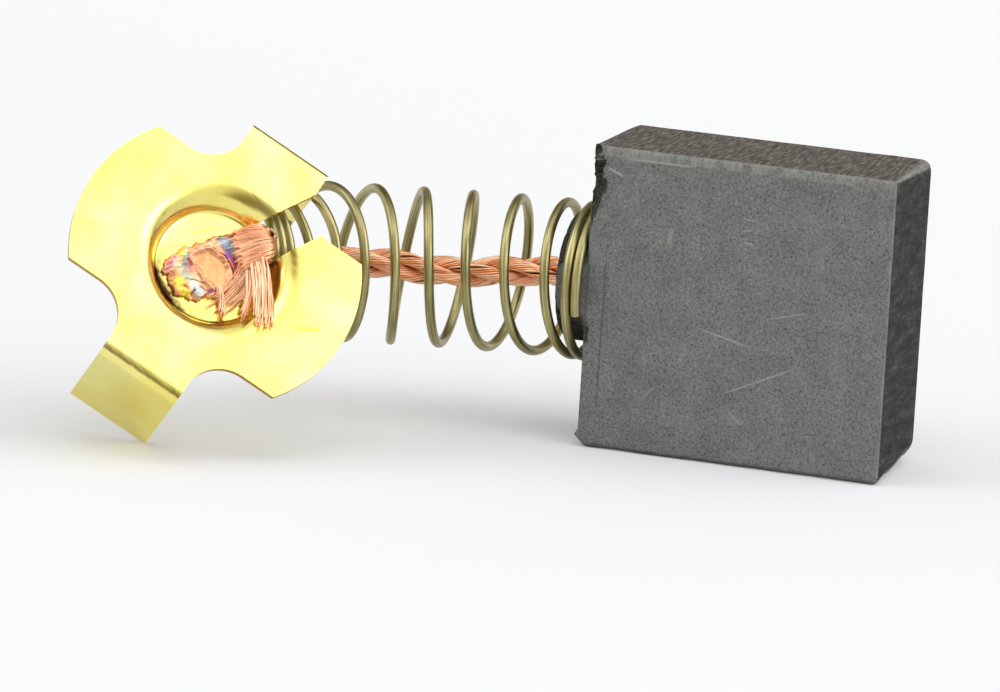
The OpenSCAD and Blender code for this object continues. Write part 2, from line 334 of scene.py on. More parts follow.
def new_material(name, build):
    """A material from a function that gets the adder of its nodes and a place in millimetres.

    The function returns what the sockets of a Principled BSDF are given, or a whole shader.
    """
    material = bpy.data.materials.new(name)
    material.use_nodes = True
    material.node_tree.nodes.clear()
    node = partial(add, material.node_tree)
    place = node("TexCoord").outputs["Object"]
    surface = build(node, node("VectorMath SCALE", {0: place, "Scale": 1 / MM}))
    if isinstance(surface, dict):
        surface = node("BsdfPrincipled", surface)
    node("OutputMaterial", {"Surface": surface})
    return material


# ---- materials ----

# Marks on the near face of the block, in its plane: start, end, half width, colour.
MARKS = [
    ((-2.1, 7.5), (0.9, 6.8), 0.06, "#9A9B98"), ((1.9, 8.5), (4.1, 9.1), 0.05, "#969794"),
    ((-0.5, 4), (3.7, 6), 0.06, "#9A9B97"), ((-0.1, 3.1), (0.7, 2.4), 0.06, "#949591"),
    ((-4.3, 4), (-5.1, 3.1), 0.06, "#8C8D89"), ((-7.8, 15.8), (-6.8, 15.4), 0.09, "#A3A3A1"),
    ((0.1, 13.9), (0.9, 13.8), 0.05, "#9C9D9A"), ((0.1, 13.2), (0.7, 13.3), 0.05, "#9C9D9A"),
    ((0.2, 12.6), (0.8, 12.5), 0.05, "#9C9D9A"), ((-3.9, 12.9), (-4.05, 11.9), 0.16, "#94948A"),
    ((-6.8, 16.4), (-2.8, 16.4), 0.06, "#A9A89F"), ((-2.8, 16.4), (-2.8, 16.85), 0.05, "#A9A89F"),
    ((-7.55, 11.2), (-7.66, 1.8), 0.07, "#4E4F4C"), ((5.8, 1.1), (8.6, 1.45), 0.05, "#5C5D5A"),
]


def marked(node, colour, place, grain, marks):
    """A colour with fine lines laid over it, in the X and Z of a place in millimetres."""
    flat = node("VectorMath MULTIPLY", (place, (1, 0, 1)))
    for (x1, z1), (x2, z2), width, tint in marks:
        run, rise = x2 - x1, z2 - z1
        local = node("Mapping", (flat, (x1, 0, z1), (0, -math.atan2(rise, run), 0),
                                 (math.hypot(run, rise), 1, width)), vector_type="TEXTURE")
        on = node("SeparateXYZ", local)
        # The middle of the line is 0 both ways, and its end and its side are 1.
        half = node("Math MULTIPLY_ADD", (on.outputs["X"], 2.0, -1.0))
        ends = node("Math ABSOLUTE", half)
        sides = node("Math ABSOLUTE", on.outputs["Z"])
        out = node("Math MAXIMUM", (ends, sides))
        faint = node("Math ADD", (out, grain))
        line = node("MapRange", (faint, 1.55, 1.15, 0.0, 0.6))
        colour = node("Mix RGBA", {"Factor": line, "A": colour, "B": tint})
    return colour


def electrographite(node, mm):
    """Ground electrographite: a grey grain with dark pores, almost without gloss.

    The near face carries scratches and a rubbed band along its top, and painted shade darkens
    the bottom edge where the block meets the floor. The top face is ground in short strokes and
    is browner. The contact face is cut in arcs and is much darker. A chipped edge is black.
    """
    facing = node("SeparateXYZ", node("TexCoord").outputs["Normal"])
    place = node("SeparateXYZ", mm)

    # The grit is a few hundredths of a millimetre, too fine to show: it is drawn 0.14 mm wide,
    # in clouds of 1.7 mm, with a pore every 0.2 mm.
    grain = node("TexNoise", {"Vector": mm, "Scale": 7.0, "Detail": 4.0, "Roughness": 0.8})
    clouds = node("TexNoise", {"Vector": mm, "Scale": 0.6, "Detail": 3.0})
    pores = node("TexVoronoi", {"Vector": mm, "Scale": 4.5, "Randomness": 1.0})
    body = node("ValToRGB", grain, stops=[(0.3, "#4A4C4A"), (0.44, "#6B6E6C"), (0.56, "#7A7C79"),
                                          (0.72, "#908F86")])
    cloudy = node("MapRange", (clouds, 0.3, 0.7, 0.88, 1.12))
    pore = node("MapRange", (pores, 0.1, 0.3, 0.5))
    shade = node("Math MULTIPLY", (cloudy, pore))
    # Painted shade: the lowest 0.3 mm of the block, where it meets the floor, is darker.
    foot = node("MapRange", (place.outputs["Z"], 0.12, 0.3, 0.4))
    shade = node("Math MULTIPLY", (shade, foot))
    body = node("VectorMath SCALE", {0: body, "Scale": shade})
    front = marked(node, body, mm, grain, MARKS)
    # The far face has no such marks.
    far = node("MapRange", (facing.outputs["Y"], -0.5, 0.5))
    front = node("Mix RGBA", {"Factor": far, "A": front, "B": body})

    # The rubbed band: half a millimetre high, in upright patches.
    upright = node("VectorMath MULTIPLY", (mm, (2.6, 1.0, 1.2)))
    patchy = node("TexNoise", {"Vector": upright, "Scale": 1.0, "Detail": 5.0, "Roughness": 0.75})
    high = node("MapRange", (place.outputs["Z"], TOP_Z - 0.62, TOP_Z - 0.5))
    band = node("MapRange", (patchy, 0.4, 0.66, 0.0, 0.85))
    band = node("Math MULTIPLY", (band, high))
    front = node("Mix RGBA", {"Factor": band, "A": front, "B": "#95948A"})

    # The top and bottom faces look brown. Their grinding strokes slant and are 0.2 mm wide.
    strokes = node("Mapping", {"Vector": mm, "Rotation": (0, 0, math.radians(6)),
                               "Scale": (6.0, 0.8, 1.0)})
    ground = node("TexNoise", {"Vector": strokes, "Scale": 1.0, "Detail": 4.0, "Roughness": 0.75})
    top = node("ValToRGB", ground, stops=[(0.36, "#38352F"), (0.5, "#56524C"), (0.64, "#7E7970")])
    flat = node("Math ABSOLUTE", facing.outputs["Z"])
    flat = node("MapRange", (flat, 0.75, 0.95))
    colour = node("Mix RGBA", {"Factor": flat, "A": front, "B": top})

    # Arcs of the saw, half a millimetre apart and centred far below the contact face.
    arcs = node("VectorMath MULTIPLY_ADD", (mm, (0, 1, 1), (0, 2.5, 23)))
    reach = node("VectorMath LENGTH", arcs).outputs["Value"]
    sweep = node("Math MULTIPLY", (place.outputs["Y"], 0.25))
    sweep = node("CombineXYZ", {"X": reach, "Y": sweep})
    ring = node("TexNoise", {"Vector": sweep, "Scale": 1.8, "Detail": 5.0, "Roughness": 0.8})
    cut = node("Mix", {"Factor": 0.35, "A": ring, "B": grain})
    contact = node("ValToRGB", cut, stops=[(0.36, "#1D1C1A"), (0.48, "#2F2D2B"), (0.58, "#45423F"),
                                           (0.68, "#68645E")])
    at_end = node("MapRange", (facing.outputs["X"], 0.75, 0.95))
    colour = node("Mix RGBA", {"Factor": at_end, "A": colour, "B": contact})

    # Rubbed edges show lighter graphite. A break is black.
    worn = node("Attribute", attribute_name="worn")
    rubbed = node("Math MULTIPLY", (worn.outputs["Fac"], patchy))
    rubbed = node("MapRange", (rubbed, 0.2, 0.6, 0.0, 0.45))
    # The painted shade at the foot dims the rubbed edges too.
    rubbed = node("Math MULTIPLY", (rubbed, foot))
    colour = node("Mix RGBA", {"Factor": rubbed, "A": colour, "B": "#8E8D85"})
    broken = node("Attribute", attribute_name="broken")
    shell = node("ValToRGB", grain, stops=[(0.35, "#22211E"), (0.5, "#38372F"), (0.7, "#5E5D53")])
    colour = node("Mix RGBA", {"Factor": broken.outputs["Fac"], "A": colour, "B": shell})
    # The boss is as dark as a break, but its two flats are ground like the block's sides.
    boss = node("MapRange", (place.outputs["X"], SEAT_X - 0.02, SEAT_X - 0.3))
    side = node("Math ABSOLUTE", facing.outputs["Y"])
    side = node("MapRange", (side, 0.97))
    dark = node("Mix RGBA", {"Factor": side, "A": shell, "B": body})
    colour = node("Mix RGBA", {"Factor": boss, "A": colour, "B": dark})

    relief = node("Mix", {"Factor": at_end, "A": grain, "B": cut})
    relief = node("Mix", {"Factor": flat, "A": relief, "B": ground})
    bump = node("Bump", {"Height": relief, "Strength": 0.5, "Distance": 0.03 * MM})
    return {"Base Color": colour, "IOR": 1.5, "Specular IOR Level": 0.1, "Roughness": 0.75,
            "Normal": bump}


def tamped_graphite(node, mm):
    """Rammed graphite powder: black, dull and crumbly, so that the hole reads as dark."""
    # Crumbs of 0.2 mm.
    crumbs = node("TexNoise", {"Vector": mm, "Scale": 6.0, "Detail": 4.0})
    colour = node("ValToRGB", crumbs, stops=[(0.35, "#1B1B19"), (0.7, "#3C3B37")])
    bump = node("Bump", {"Height": crumbs, "Distance": 0.08 * MM})
    return {"Base Color": colour, "Roughness": 0.85, "Normal": bump}


def drawn_spring_wire(node, mm):
    """Drawn spring steel: lengthwise die lines and an olive temper film, half glossy."""
    section = node("Attribute", attribute_name="section")
    along = node("Attribute", attribute_name="along")
    length = node("CombineXYZ", {"Z": along.outputs["Fac"]})
    # Die lines: a twelfth of the wire's girth wide, coarser than real ones, and millimetres
    # long. The temper film comes in patches of 2 mm.
    lines_at = node("VectorMath MULTIPLY_ADD",
                    (section.outputs["Vector"], (3.5, 3.5, 3.5), length))
    lines = node("TexNoise", {"Vector": lines_at, "Scale": 1.0, "Detail": 3.0})
    film = node("TexNoise", {"Vector": mm, "Scale": 0.5, "Detail": 3.0})
    colour = node("ValToRGB", lines, stops=[(0.3, "#827C54"), (0.5, "#A89F70"), (0.7, "#D4CA94")])
    tint = node("MapRange", (film, 0.35, 0.7, 0.0, 0.55))
    colour = node("Mix RGBA", {"Factor": tint, "A": colour, "B": "#757046"})
    rough = node("MapRange", (lines, 0.3, 0.7, 0.28, 0.46))
    bump = node("Bump", {"Height": lines, "Strength": 0.5, "Distance": 0.01 * MM})
    return {"Base Color": colour, "Metallic": 1.0, "Roughness": rough, "Normal": bump}


# Marks on the cap, in its own frame: lines that the pressing left on the recess's floor, a
# faint crease on the left lobe and a rubbed line on the right one.
CAP_MARKS = [
    ((-2.55, -0.5), (-0.9, 1.45), 0.04, "#C9A83E"), ((-2.1, 0.8), (-1.2, 1.8), 0.04, "#C9A83E"),
    ((-1.2, 1.8), (-0.35, 2.55), 0.03, "#C9A83E"),
    ((-7.4, -2.5), (-6.3, -2), 0.07, "#D9C25C"), ((-6.3, -2), (-4.9, -1.4), 0.06, "#DFCB6C"),
    ((5.7, -0.6), (6.8, 0.2), 0.16, "#E3C62E"),
]


def bright_brass(node, mm):
    """Bright rolled brass sheet: lemon yellow and mirror-like, with faint rolling marks.

    Its tone varies over 3 mm. The rolling marks are 0.1 mm apart and 4 mm long, which is
    coarser than real ones, so that they show.
    """
    film = node("TexNoise", {"Vector": mm, "Scale": 0.35, "Detail": 2.0})
    colour = node("ValToRGB", film, stops=[(0.35, "#F0E078"), (0.55, "#F4E98A"),
                                           (0.75, "#F7EE9E")])
    turn = Matrix(CAP_TURN.tolist()).transposed().to_euler()
    local = node("Mapping", {"Vector": mm, "Rotation": turn,
                             "Location": tuple(-CAP_CENTRE @ CAP_TURN)})
    local = node("SeparateXYZ", local)
    flat = node("CombineXYZ", {"X": local.outputs["X"], "Z": local.outputs["Y"]})
    colour = marked(node, colour, flat, film, CAP_MARKS)
    # The blanked edges are sheared, so a duller, browner line runs round the sheet.
    rim = node("Attribute", attribute_name="rim")
    colour = node("Mix RGBA", {"Factor": rim.outputs["Fac"], "A": colour, "B": "#BD9340"})
    # Weld soot, with painted shade and painted dark reflection on the recess's wall, darkens the
    # brass.
    soot_and_shade_mask = node("Attribute", attribute_name="soot_and_shade")
    colour = node("Mix RGBA", {"Factor": soot_and_shade_mask.outputs["Fac"], "A": colour, "B": "#3A2412"})
    rolled = node("Mapping", {"Vector": mm, "Rotation": turn, "Scale": (0.25, 9.0, 0.25)})
    marks = node("TexNoise", {"Vector": rolled, "Scale": 1.0, "Detail": 2.0})
    rough = node("MapRange", (marks, 0.3, 0.7, 0.14, 0.24))
    bump = node("Bump", {"Height": marks, "Strength": 0.2, "Distance": 0.01 * MM})
    return {"Base Color": colour, "Metallic": 1.0, "Roughness": rough, "Normal": bump}


def copper_wire(node, mm):
    """Bare annealed copper wire: salmon where it is bright, red-brown where it has tarnished."""
    shade = node("Attribute", attribute_name="shade")
    # Each wire has its own shade, and the tarnish comes in patches of 1 mm.
    patches = node("TexNoise", {"Vector": mm, "Scale": 1.1, "Detail": 3.0})
    mixed = node("Mix", {"Factor": 0.55, "A": shade.outputs["Fac"], "B": patches})
    colour = node("ValToRGB", mixed, stops=[(0.2, "#CF7F50"), (0.42, "#F7B487"), (0.7, "#FFD7B6")])
    return {"Base Color": colour, "Metallic": 1.0, "Roughness": 0.34}


def heat_tinted_copper(node, mm):
    """Copper pressed flat by the welding head: peach and orange, with blue and purple tints, and
    painted shade in the wires' grooves and where the lead comes through the slot.
    """
    tint = node("Attribute", attribute_name="tint")
    # The pressed wires leave patches of 0.3 mm, as wide as three or four of them.
    patches = node("TexNoise", {"Vector": mm, "Scale": 3.5, "Detail": 3.0})
    level = node("MapRange", (patches, 0.3, 0.7, 0.82, 1.12))
    colour = node("VectorMath SCALE", {0: tint.outputs["Color"], "Scale": level})
    rough = node("MapRange", (patches, 0.0, 1.0, 0.25, 0.5))
    bump = node("Bump", {"Height": patches, "Strength": 0.4, "Distance": 0.03 * MM})
    return {"Base Color": colour, "Metallic": 1.0, "Roughness": rough, "Normal": bump}


# ---- carbon block ----

# Worn edges of the block as rounds: axis and side of the one face and of the other, the axis
# that the edge runs along, and the round's radius at its low and at its high end.
WORN_EDGES = [
    (0, 1, 2, 1, 1, 0.35, 0.75),
    (0, 1, 2, -1, 1, 0.5, 1.5),
    (0, 1, 1, -1, 2, 0.3, 0.25),
    (0, 1, 1, 1, 2, 0.18, 0.18),
    (1, -1, 2, 1, 0, 0.28, 0.34),
    (1, -1, 2, -1, 0, 0.4, 0.5),
    (1, 1, 2, 1, 0, 0.3, 0.35),
    (1, 1, 2, -1, 0, 0.3, 0.3),
    (0, -1, 2, 1, 1, 0.25, 0.7),
    (0, -1, 1, -1, 2, 0.12, 0.2),
    (0, -1, 1, 1, 2, 0.15, 0.6),
]


BLOCK_LOW = np.array([SEAT_X, NEAR_Y, 0])
BLOCK_HIGH = np.array([CONTACT_X, FAR_Y, TOP_Z])


def block_grid():
    """The six faces of the block as grids that are fine along the edges."""
    low, high = BLOCK_LOW, BLOCK_HIGH
    ticks = [spaced(a, b, 0.07, 1.75, 0.3) for a, b in zip(low, high)]
    ticks[1] = spaced(NEAR_Y, FAR_Y, 0.07, 1.05, 0.2)
    points, faces, count = [], [], 0
    for axis in range(3):
        first, second = [k for k in range(3) if k != axis]
        a, b = np.meshgrid(ticks[first], ticks[second], indexing="ij")
        for value in (low[axis], high[axis]):
            face = np.empty((a.size, 3))
            face[:, axis] = value
            face[:, first] = a.ravel()
            face[:, second] = b.ravel()
            points.append(face)
            faces.append(grid_faces(*a.shape, start=count))
            count += a.size
    return np.concatenate(points), np.concatenate(faces)


def wear_edges(points):
    """Round the worn edges raggedly. Returns the points and how far each one moved."""
    low, high = BLOCK_LOW, BLOCK_HIGH
    worn = points.copy()
    ragged = 0.24 * noise(points, 1.6, 1) + 0.06 * noise(points, 0.3, 2)
    for axis_a, side_a, axis_b, side_b, along, start, end in WORN_EDGES:
        t = (points[:, along] - low[along]) / (high[along] - low[along])
        radius = (start + (end - start) * t) * (1 + ragged)
        inside = []
        for axis, side in ((axis_a, side_a), (axis_b, side_b)):
            face = high[axis] if side > 0 else low[axis]
            inside.append(radius - side * (face - worn[:, axis]))
        a, b = inside
        reach = np.hypot(a, b)
        moved = (a > 0) & (b > 0) & (reach > radius)
        scale = np.where(moved, radius / np.maximum(reach, 1e-9), 1)
        worn[:, axis_a] -= np.where(moved, side_a * a * (1 - scale), 0)
        worn[:, axis_b] -= np.where(moved, side_b * b * (1 - scale), 0)
    return worn, np.linalg.norm(worn - points, axis=1)


def break_chips(points):
    """Push the seat's near edge in to broken shells. Returns the points and the depths."""
    broken = points.copy()
    rough = 0.2 * noise(points, 0.4, 3) + 0.16 * noise(points, 0.16, 4)
    for height, radius in CHIPS:
        centre = np.array([SEAT_X - 0.09 * radius, NEAR_Y - 0.56 * radius, height])
        off = broken - centre
        away = np.linalg.norm(off, axis=1)
        shell = radius * (1 + rough)
        inside = away < shell
        push = np.where(inside, shell / np.maximum(away, 1e-9), 1)
        broken = centre + off * push[:, None]
    return broken, np.linalg.norm(broken - points, axis=1)


def bend_heel(points):
    """Bevel the block under the spring seat, with a burr where the bevel ends."""
    lip = np.interp(points[:, 2], [0, HEEL_BEVEL + HEEL_BURR / 2, HEEL_BEVEL + 2 * HEEL_BURR],
                    [HEEL_BEVEL, -HEEL_BURR, 0])
    ragged = 1 + 0.25 * noise(points, 0.7, 5)
    near_seat = np.clip(1 - (points[:, 0] - SEAT_X) / 1.6, 0, 1)
    bent = points.copy()
    bent[:, 0] += np.maximum(lip * ragged, -HEEL_BURR) * near_seat
    return bent


def boss_shell():
    """The turned boss with its two pressed flats and the mouth of the lead's hole."""
    profile = [(SEAT_X + 0.3, 0), (SEAT_X + 0.3, BOSS_R)]
    profile += [(x, BOSS_R) for x in np.linspace(SEAT_X, BOSS_X + 0.15, 8)]
    profile += [(BOSS_X + 0.03, BOSS_R - 0.1), (BOSS_X, BOSS_R - 0.2)]
    profile += [(BOSS_X, r) for r in np.linspace(BOSS_R - 0.5, HOLE_R + 0.12, 8)]
    profile += [(BOSS_X + 0.12, HOLE_R), (SEAT_X - 0.2, HOLE_R), (SEAT_X - 0.2, 0)]
    points, faces = turned_profile(profile, 160)
    edge = points[:, 0] < SEAT_X
    crumble = 0.04 * noise(points, 0.3, 6) + 0.03 * noise(points, 0.9, 8)
    points[:, 0] += np.where(edge, np.abs(crumble), 0)
    points[:, 1] = np.clip(points[:, 1], -BOSS_FLAT, BOSS_FLAT)
    points[:, 2] += BOSS_Z
    return points, faces


def make_block(material):
    """The block and its boss, worn and chipped. Both attributes are 1 at these depths."""
    points, faces = block_grid()
    points, wear = wear_edges(points)
    points, depth = break_chips(points)
    points = bend_heel(points)
    boss, boss_faces = boss_shell()
    every = np.concatenate([points, boss])
    mesh = new_mesh("carbon_block_body", every,
                    np.concatenate([faces, boss_faces + len(points)]), smooth_angle=32)
    pad = np.zeros(len(boss))
    for name, moved, full in (("worn", wear, 0.12), ("broken", depth, 0.08)):
        values = carried(mesh, every, np.concatenate([moved, pad]))
        set_value(mesh, name, np.clip(np.array(values) / full, 0, 1))
    return put_on(mesh, "worn_carbon_block", material, "carbon", "carbon_block")


# ---- geometry node trees ----

# The sizes of the trees that are lengths, in millimetres. The others are counts and shares.
LENGTHS = {"Wire Radius", "Coil Radius", "Closed Pitch", "Open Pitch", "Start",
           "Bundle Offset", "Layer Radius", "Core Radius", "Lay", "Stray"}


def new_tree(name, sizes):
    """A geometry node tree with a guide, a material and named sizes as its inputs.

    Returns it, the adder of its nodes, and what it is given.
    """
    tree = bpy.data.node_groups.new(name, "GeometryNodeTree")
    face = tree.interface
    face.new_socket("Guide", in_out="INPUT", socket_type="NodeSocketGeometry")
    face.new_socket("Material", in_out="INPUT", socket_type="NodeSocketMaterial")
    for size in sizes:
        face.new_socket(size, in_out="INPUT", socket_type="NodeSocketFloat")
    face.new_socket("Piece", in_out="OUTPUT", socket_type="NodeSocketGeometry")
    node = partial(add, tree)
    return tree, node, node("NodeGroupInput").outputs


def close_tree(node, given, geometry):
    """End a tree: real faces, one material."""
    real = node("GeometryNodeRealizeInstances", geometry)
    dressed = node("GeometryNodeSetMaterial", {"Geometry": real, "Material": given["Material"]})
    smooth = node("GeometryNodeSetShadeSmooth", dressed)
    node("NodeGroupOutput", {"Piece": smooth})


def grow(name, tree, path, material, sizes):
    """Run a tree along a path in millimetres and return the result as a plain mesh."""
    line = bpy.data.meshes.new(name)
    path = np.asarray(path, float) * MM
    line.from_pydata(path.tolist(), [(i, i + 1) for i in range(len(path) - 1)], [])
    guide = bpy.data.objects.new(name, line)
    bpy.context.scene.collection.objects.link(guide)
    modifier = guide.modifiers.new("grow", "NODES")
    modifier.node_group = tree
    values = {size: value * MM if size in LENGTHS else float(value)
              for size, value in sizes.items()}
    values["Material"] = material
    for item in tree.interface.items_tree:
        if item.name in values:
            modifier[item.identifier] = values[item.name]
    ready = bpy.context.evaluated_depsgraph_get()
    mesh = bpy.data.meshes.new_from_object(guide.evaluated_get(ready), depsgraph=ready)
    guide.modifiers.clear()
    bpy.data.objects.remove(guide)
    return mesh


def turned_off(node, direction, angle):
    """A unit vector square to direction: up, turned about direction by angle."""
    rise = node("VectorMath DOT_PRODUCT", (direction, (0, 0, 1))).outputs["Value"]
    lean = node("VectorMath SCALE", {0: direction, "Scale": rise})
    up = node("VectorMath SUBTRACT", ((0, 0, 1), lean))
    up = node("VectorMath NORMALIZE", up)
    return node("VectorRotate", {"Vector": up, "Axis": direction, "Angle": angle},
                rotation_type="AXIS_ANGLE")


def round_wire(node, curve, radius, sides):
    """Sweep a round section along curves, and keep where each point is on the section."""
    circle = node("GeometryNodeCurvePrimitiveCircle", {"Resolution": sides, "Radius": radius})
    unit = node("VectorMath NORMALIZE", node("GeometryNodeInputPosition"))
    section = node("GeometryNodeStoreNamedAttribute FLOAT_VECTOR",
                   {"Geometry": circle, "Name": "section", "Value": unit})
    return node("GeometryNodeCurveToMesh", {"Curve": curve, "Profile Curve": section,
                                            "Fill Caps": True})


def spring_tree():
    """A coil spring round a guide: closed coils at both ends, open ones between."""
    tree, node, given = new_tree("coil spring", [
        "Wire Radius", "Coil Radius", "Coils", "Steps", "First Turn", "Seat Coils", "End Coils",
        "Closed Pitch", "Open Pitch", "Start"])
    axis = node("GeometryNodeMeshToCurve", {"Mesh": given["Guide"]})
    count = node("Math MULTIPLY_ADD", (given["Coils"], given["Steps"], 1.0))
    chain = node("GeometryNodeMeshLine", {"Count": count})
    index = node("GeometryNodeInputIndex")
    turned = node("Math DIVIDE", (index, given["Steps"]))
    turn = node("Math ADD", (turned, given["First Turn"]))

    # The pitch opens after the closed coils on the seat and closes again near the end.
    opens_at = node("Math SUBTRACT", (given["Seat Coils"], 0.5))
    open_at = node("Math ADD", (given["Seat Coils"], 0.5))
    opened = node("MapRange", (turned, opens_at, open_at), interpolation_type="SMOOTHSTEP")
    last_open = node("Math SUBTRACT", (given["Coils"], given["End Coils"]))
    closes_at = node("Math SUBTRACT", (last_open, 0.3))
    closed_at = node("Math ADD", (last_open, 0.3))
    still_open = node("MapRange", (turned, closed_at, closes_at), interpolation_type="SMOOTHSTEP")
    openness = node("Math MULTIPLY", (opened, still_open))
    pitch = node("MapRange", (openness, 0.0, 1.0, given["Closed Pitch"], given["Open Pitch"]))
    rise = node("Math DIVIDE", (pitch, given["Steps"]))
    risen = node("GeometryNodeAccumulateField", {"Value": rise}).outputs["Trailing"]
    height = node("Math ADD", (risen, given["Start"]))

    on_axis = node("GeometryNodeSampleCurve", {"Curves": axis, "Length": height}, mode="LENGTH")
    angle = node("Math MULTIPLY_ADD", (turn, 2 * math.pi, -math.pi / 2))
    out = turned_off(node, on_axis.outputs["Tangent"], angle)
    arm = node("VectorMath SCALE", {0: out, "Scale": given["Coil Radius"]})
    place = node("VectorMath ADD", (on_axis.outputs["Position"], arm))
    coil = node("GeometryNodeSetPosition", {"Geometry": chain, "Position": place})
    along = node("Math MULTIPLY", (turned, 5.0))
    coil = node("GeometryNodeStoreNamedAttribute FLOAT",
                {"Geometry": coil, "Name": "along", "Value": along})
    wire = node("GeometryNodeMeshToCurve", {"Mesh": coil})
    close_tree(node, given, round_wire(node, wire, given["Wire Radius"], 16))
    return tree


def strand_tree():
    """Fine wires laid round a guide in twisted bundles."""
    tree, node, given = new_tree("stranded wires", [
        "Bundles", "Bundle Offset", "Wires", "Layer Radius", "Core Radius", "Wire Radius",
        "Lay", "Wire Turns", "Steps", "Stray", "Flare", "Ragged", "Seed"])
    guide = node("GeometryNodeMeshToCurve", {"Mesh": given["Guide"]})
    whole = node("GeometryNodeCurveLength", {"Curve": guide})
    number = node("Math MULTIPLY", (given["Bundles"], given["Wires"]))
    starts = node("GeometryNodePoints", {"Count": number})
    straight = node("GeometryNodeCurvePrimitiveLine")
    straight = node("GeometryNodeResampleCurve", {"Curve": straight, "Count": given["Steps"]})
    wires = node("GeometryNodeInstanceOnPoints", {"Points": starts, "Instance": straight})
    wires = node("GeometryNodeStoreNamedAttribute FLOAT", {
        "Geometry": wires, "Name": "wire", "Value": node("GeometryNodeInputIndex")},
        domain="INSTANCE")
    wires = node("GeometryNodeRealizeInstances", {"Geometry": wires})
    wire = node("GeometryNodeInputNamedAttribute FLOAT", {"Name": "wire"})
    bundle = node("Math MODULO", (wire, given["Bundles"]))
    in_bundle = node("Math DIVIDE", (wire, given["Bundles"]))
    in_bundle = node("Math FLOOR", in_bundle)
    part = node("GeometryNodeSplineParameter").outputs["Factor"]
    short = node("FunctionNodeRandomValue FLOAT", {"ID": wire, "Seed": 3})
    short = node("Math MULTIPLY", (short, given["Ragged"]))
    kept = node("Math SUBTRACT", (1.0, short))
    part = node("Math MULTIPLY", (part, kept))
    length = node("Math MULTIPLY", (part, whole))
    on_guide = node("GeometryNodeSampleCurve", {"Curves": guide, "Length": length}, mode="LENGTH")

    turns = node("Math DIVIDE", (length, given["Lay"]))
    share = node("Math DIVIDE", (bundle, given["Bundles"]))
    bundle_turn = node("Math ADD", (turns, share))
    bundle_angle = node("Math MULTIPLY", (bundle_turn, 2 * math.pi))
    bundle_out = turned_off(node, on_guide.outputs["Tangent"], bundle_angle)
    bundle_arm = node("VectorMath SCALE", {0: bundle_out, "Scale": given["Bundle Offset"]})

    # Wires turn the other way inside their bundle, so they lie nearly along the lead.
    back = node("Math MULTIPLY", (turns, given["Wire Turns"]))
    own = node("Math DIVIDE", (in_bundle, given["Wires"]))
    wire_turn = node("Math SUBTRACT", (own, back))
    wire_angle = node("Math MULTIPLY", (wire_turn, 2 * math.pi))
    wire_out = node("VectorRotate", {
        "Vector": bundle_out, "Axis": on_guide.outputs["Tangent"], "Angle": wire_angle},
        rotation_type="AXIS_ANGLE")
    is_core = node("Math LESS_THAN", (in_bundle, 0.5))
    layer = node("Mix", {"Factor": is_core, "A": given["Layer Radius"], "B": 0.0})
    flared = node("MapRange", (part, 0.35, 1.0, 1.0, given["Flare"]),
                  interpolation_type="SMOOTHSTEP")
    layer = node("Math MULTIPLY", (layer, flared))
    wire_arm = node("VectorMath SCALE", {0: wire_out, "Scale": layer})

    apart = node("Math MULTIPLY_ADD", (wire, 5.37, given["Seed"]))
    along = node("Math MULTIPLY", (length, 1 / MM))
    seat = node("CombineXYZ", {"X": apart, "Y": along})
    wander = node("TexNoise", {"Vector": seat, "Scale": 0.8, "Detail": 1.0})
    wander = node("VectorMath SUBTRACT", (wander.outputs["Color"], (0.5, 0.5, 0.5)))
    wander = node("VectorMath SCALE", {0: wander, "Scale": given["Stray"]})
    place = node("VectorMath ADD", (on_guide.outputs["Position"], bundle_arm))
    place = node("VectorMath ADD", (place, wire_arm))
    place = node("VectorMath ADD", (place, wander))
    wires = node("GeometryNodeSetPosition", {"Geometry": wires, "Position": place})
    thicker = node("Math DIVIDE", (given["Core Radius"], given["Wire Radius"]))
    thickness = node("Mix", {"Factor": is_core, "A": 1.0, "B": thicker})
    wires = node("GeometryNodeSetCurveRadius", {"Curve": wires, "Radius": thickness})
    shade = node("FunctionNodeRandomValue FLOAT", {"ID": wire})
    wires = node("GeometryNodeStoreNamedAttribute FLOAT",
                 {"Geometry": wires, "Name": "shade", "Value": shade})
    close_tree(node, given, round_wire(node, wires, given["Wire Radius"], 6))
    return tree


def make_spring(material):
    """The spring along its axis, which runs on past the last coil."""
    tail_way = np.subtract(SPRING_BEND[3], SPRING_BEND[2])
    tail = SPRING_BEND[3] + SPRING_TAIL * tail_way / np.linalg.norm(tail_way)
    bend = bezier(np.array(SPRING_BEND, float), np.linspace(0, 1, 241))
    axis = np.concatenate([[(SEAT_X, 0, SPRING_Z)], bend, [tail]])
    mesh = grow("spring_axis", spring_tree(), axis, material, {
        "Wire Radius": WIRE_D / 2, "Coil Radius": COIL_R, "Coils": COILS - CUT_BACK,
        "Steps": 64, "First Turn": FIRST_TURN + CUT_BACK, "Seat Coils": SEAT_COILS,
        "End Coils": END_COILS, "Closed Pitch": CLOSED_PITCH, "Open Pitch": OPEN_PITCH,
        "Start": WIRE_D / 2 + 0.01})
    mesh.set_sharp_from_angle(angle=math.radians(60))
    return put_on(mesh, "coiled_spring", material, "spring_wire", "pressure_spring")


def make_lead(tree, material):
    """The lead from the block to the cap: a core and a layer of wires in each bundle."""
    wire_r = 0.068
    layer = BUNDLE_D / 2 - wire_r
    mesh = grow("lead_axis", tree, smoothed(LEAD_ROUTE), material, {
        "Bundles": BUNDLES, "Bundle Offset": BUNDLE_D / math.sqrt(3), "Wires": 17,
        "Layer Radius": layer, "Core Radius": layer - 0.02, "Wire Radius": wire_r, "Lay": LAY,
        "Wire Turns": 2.4, "Steps": 125, "Stray": 0.07, "Flare": 1, "Ragged": 0, "Seed": SEED})
    names = [f"lead_bundle_{i + 1}" for i in range(BUNDLES)]
    return put_on(mesh, "twisted_copper_lead", material, "lead_copper", *names)


# What every bunch of wires at the weld has in common.
BUNCH = {"Bundles": 1, "Bundle Offset": 0, "Steps": 40}


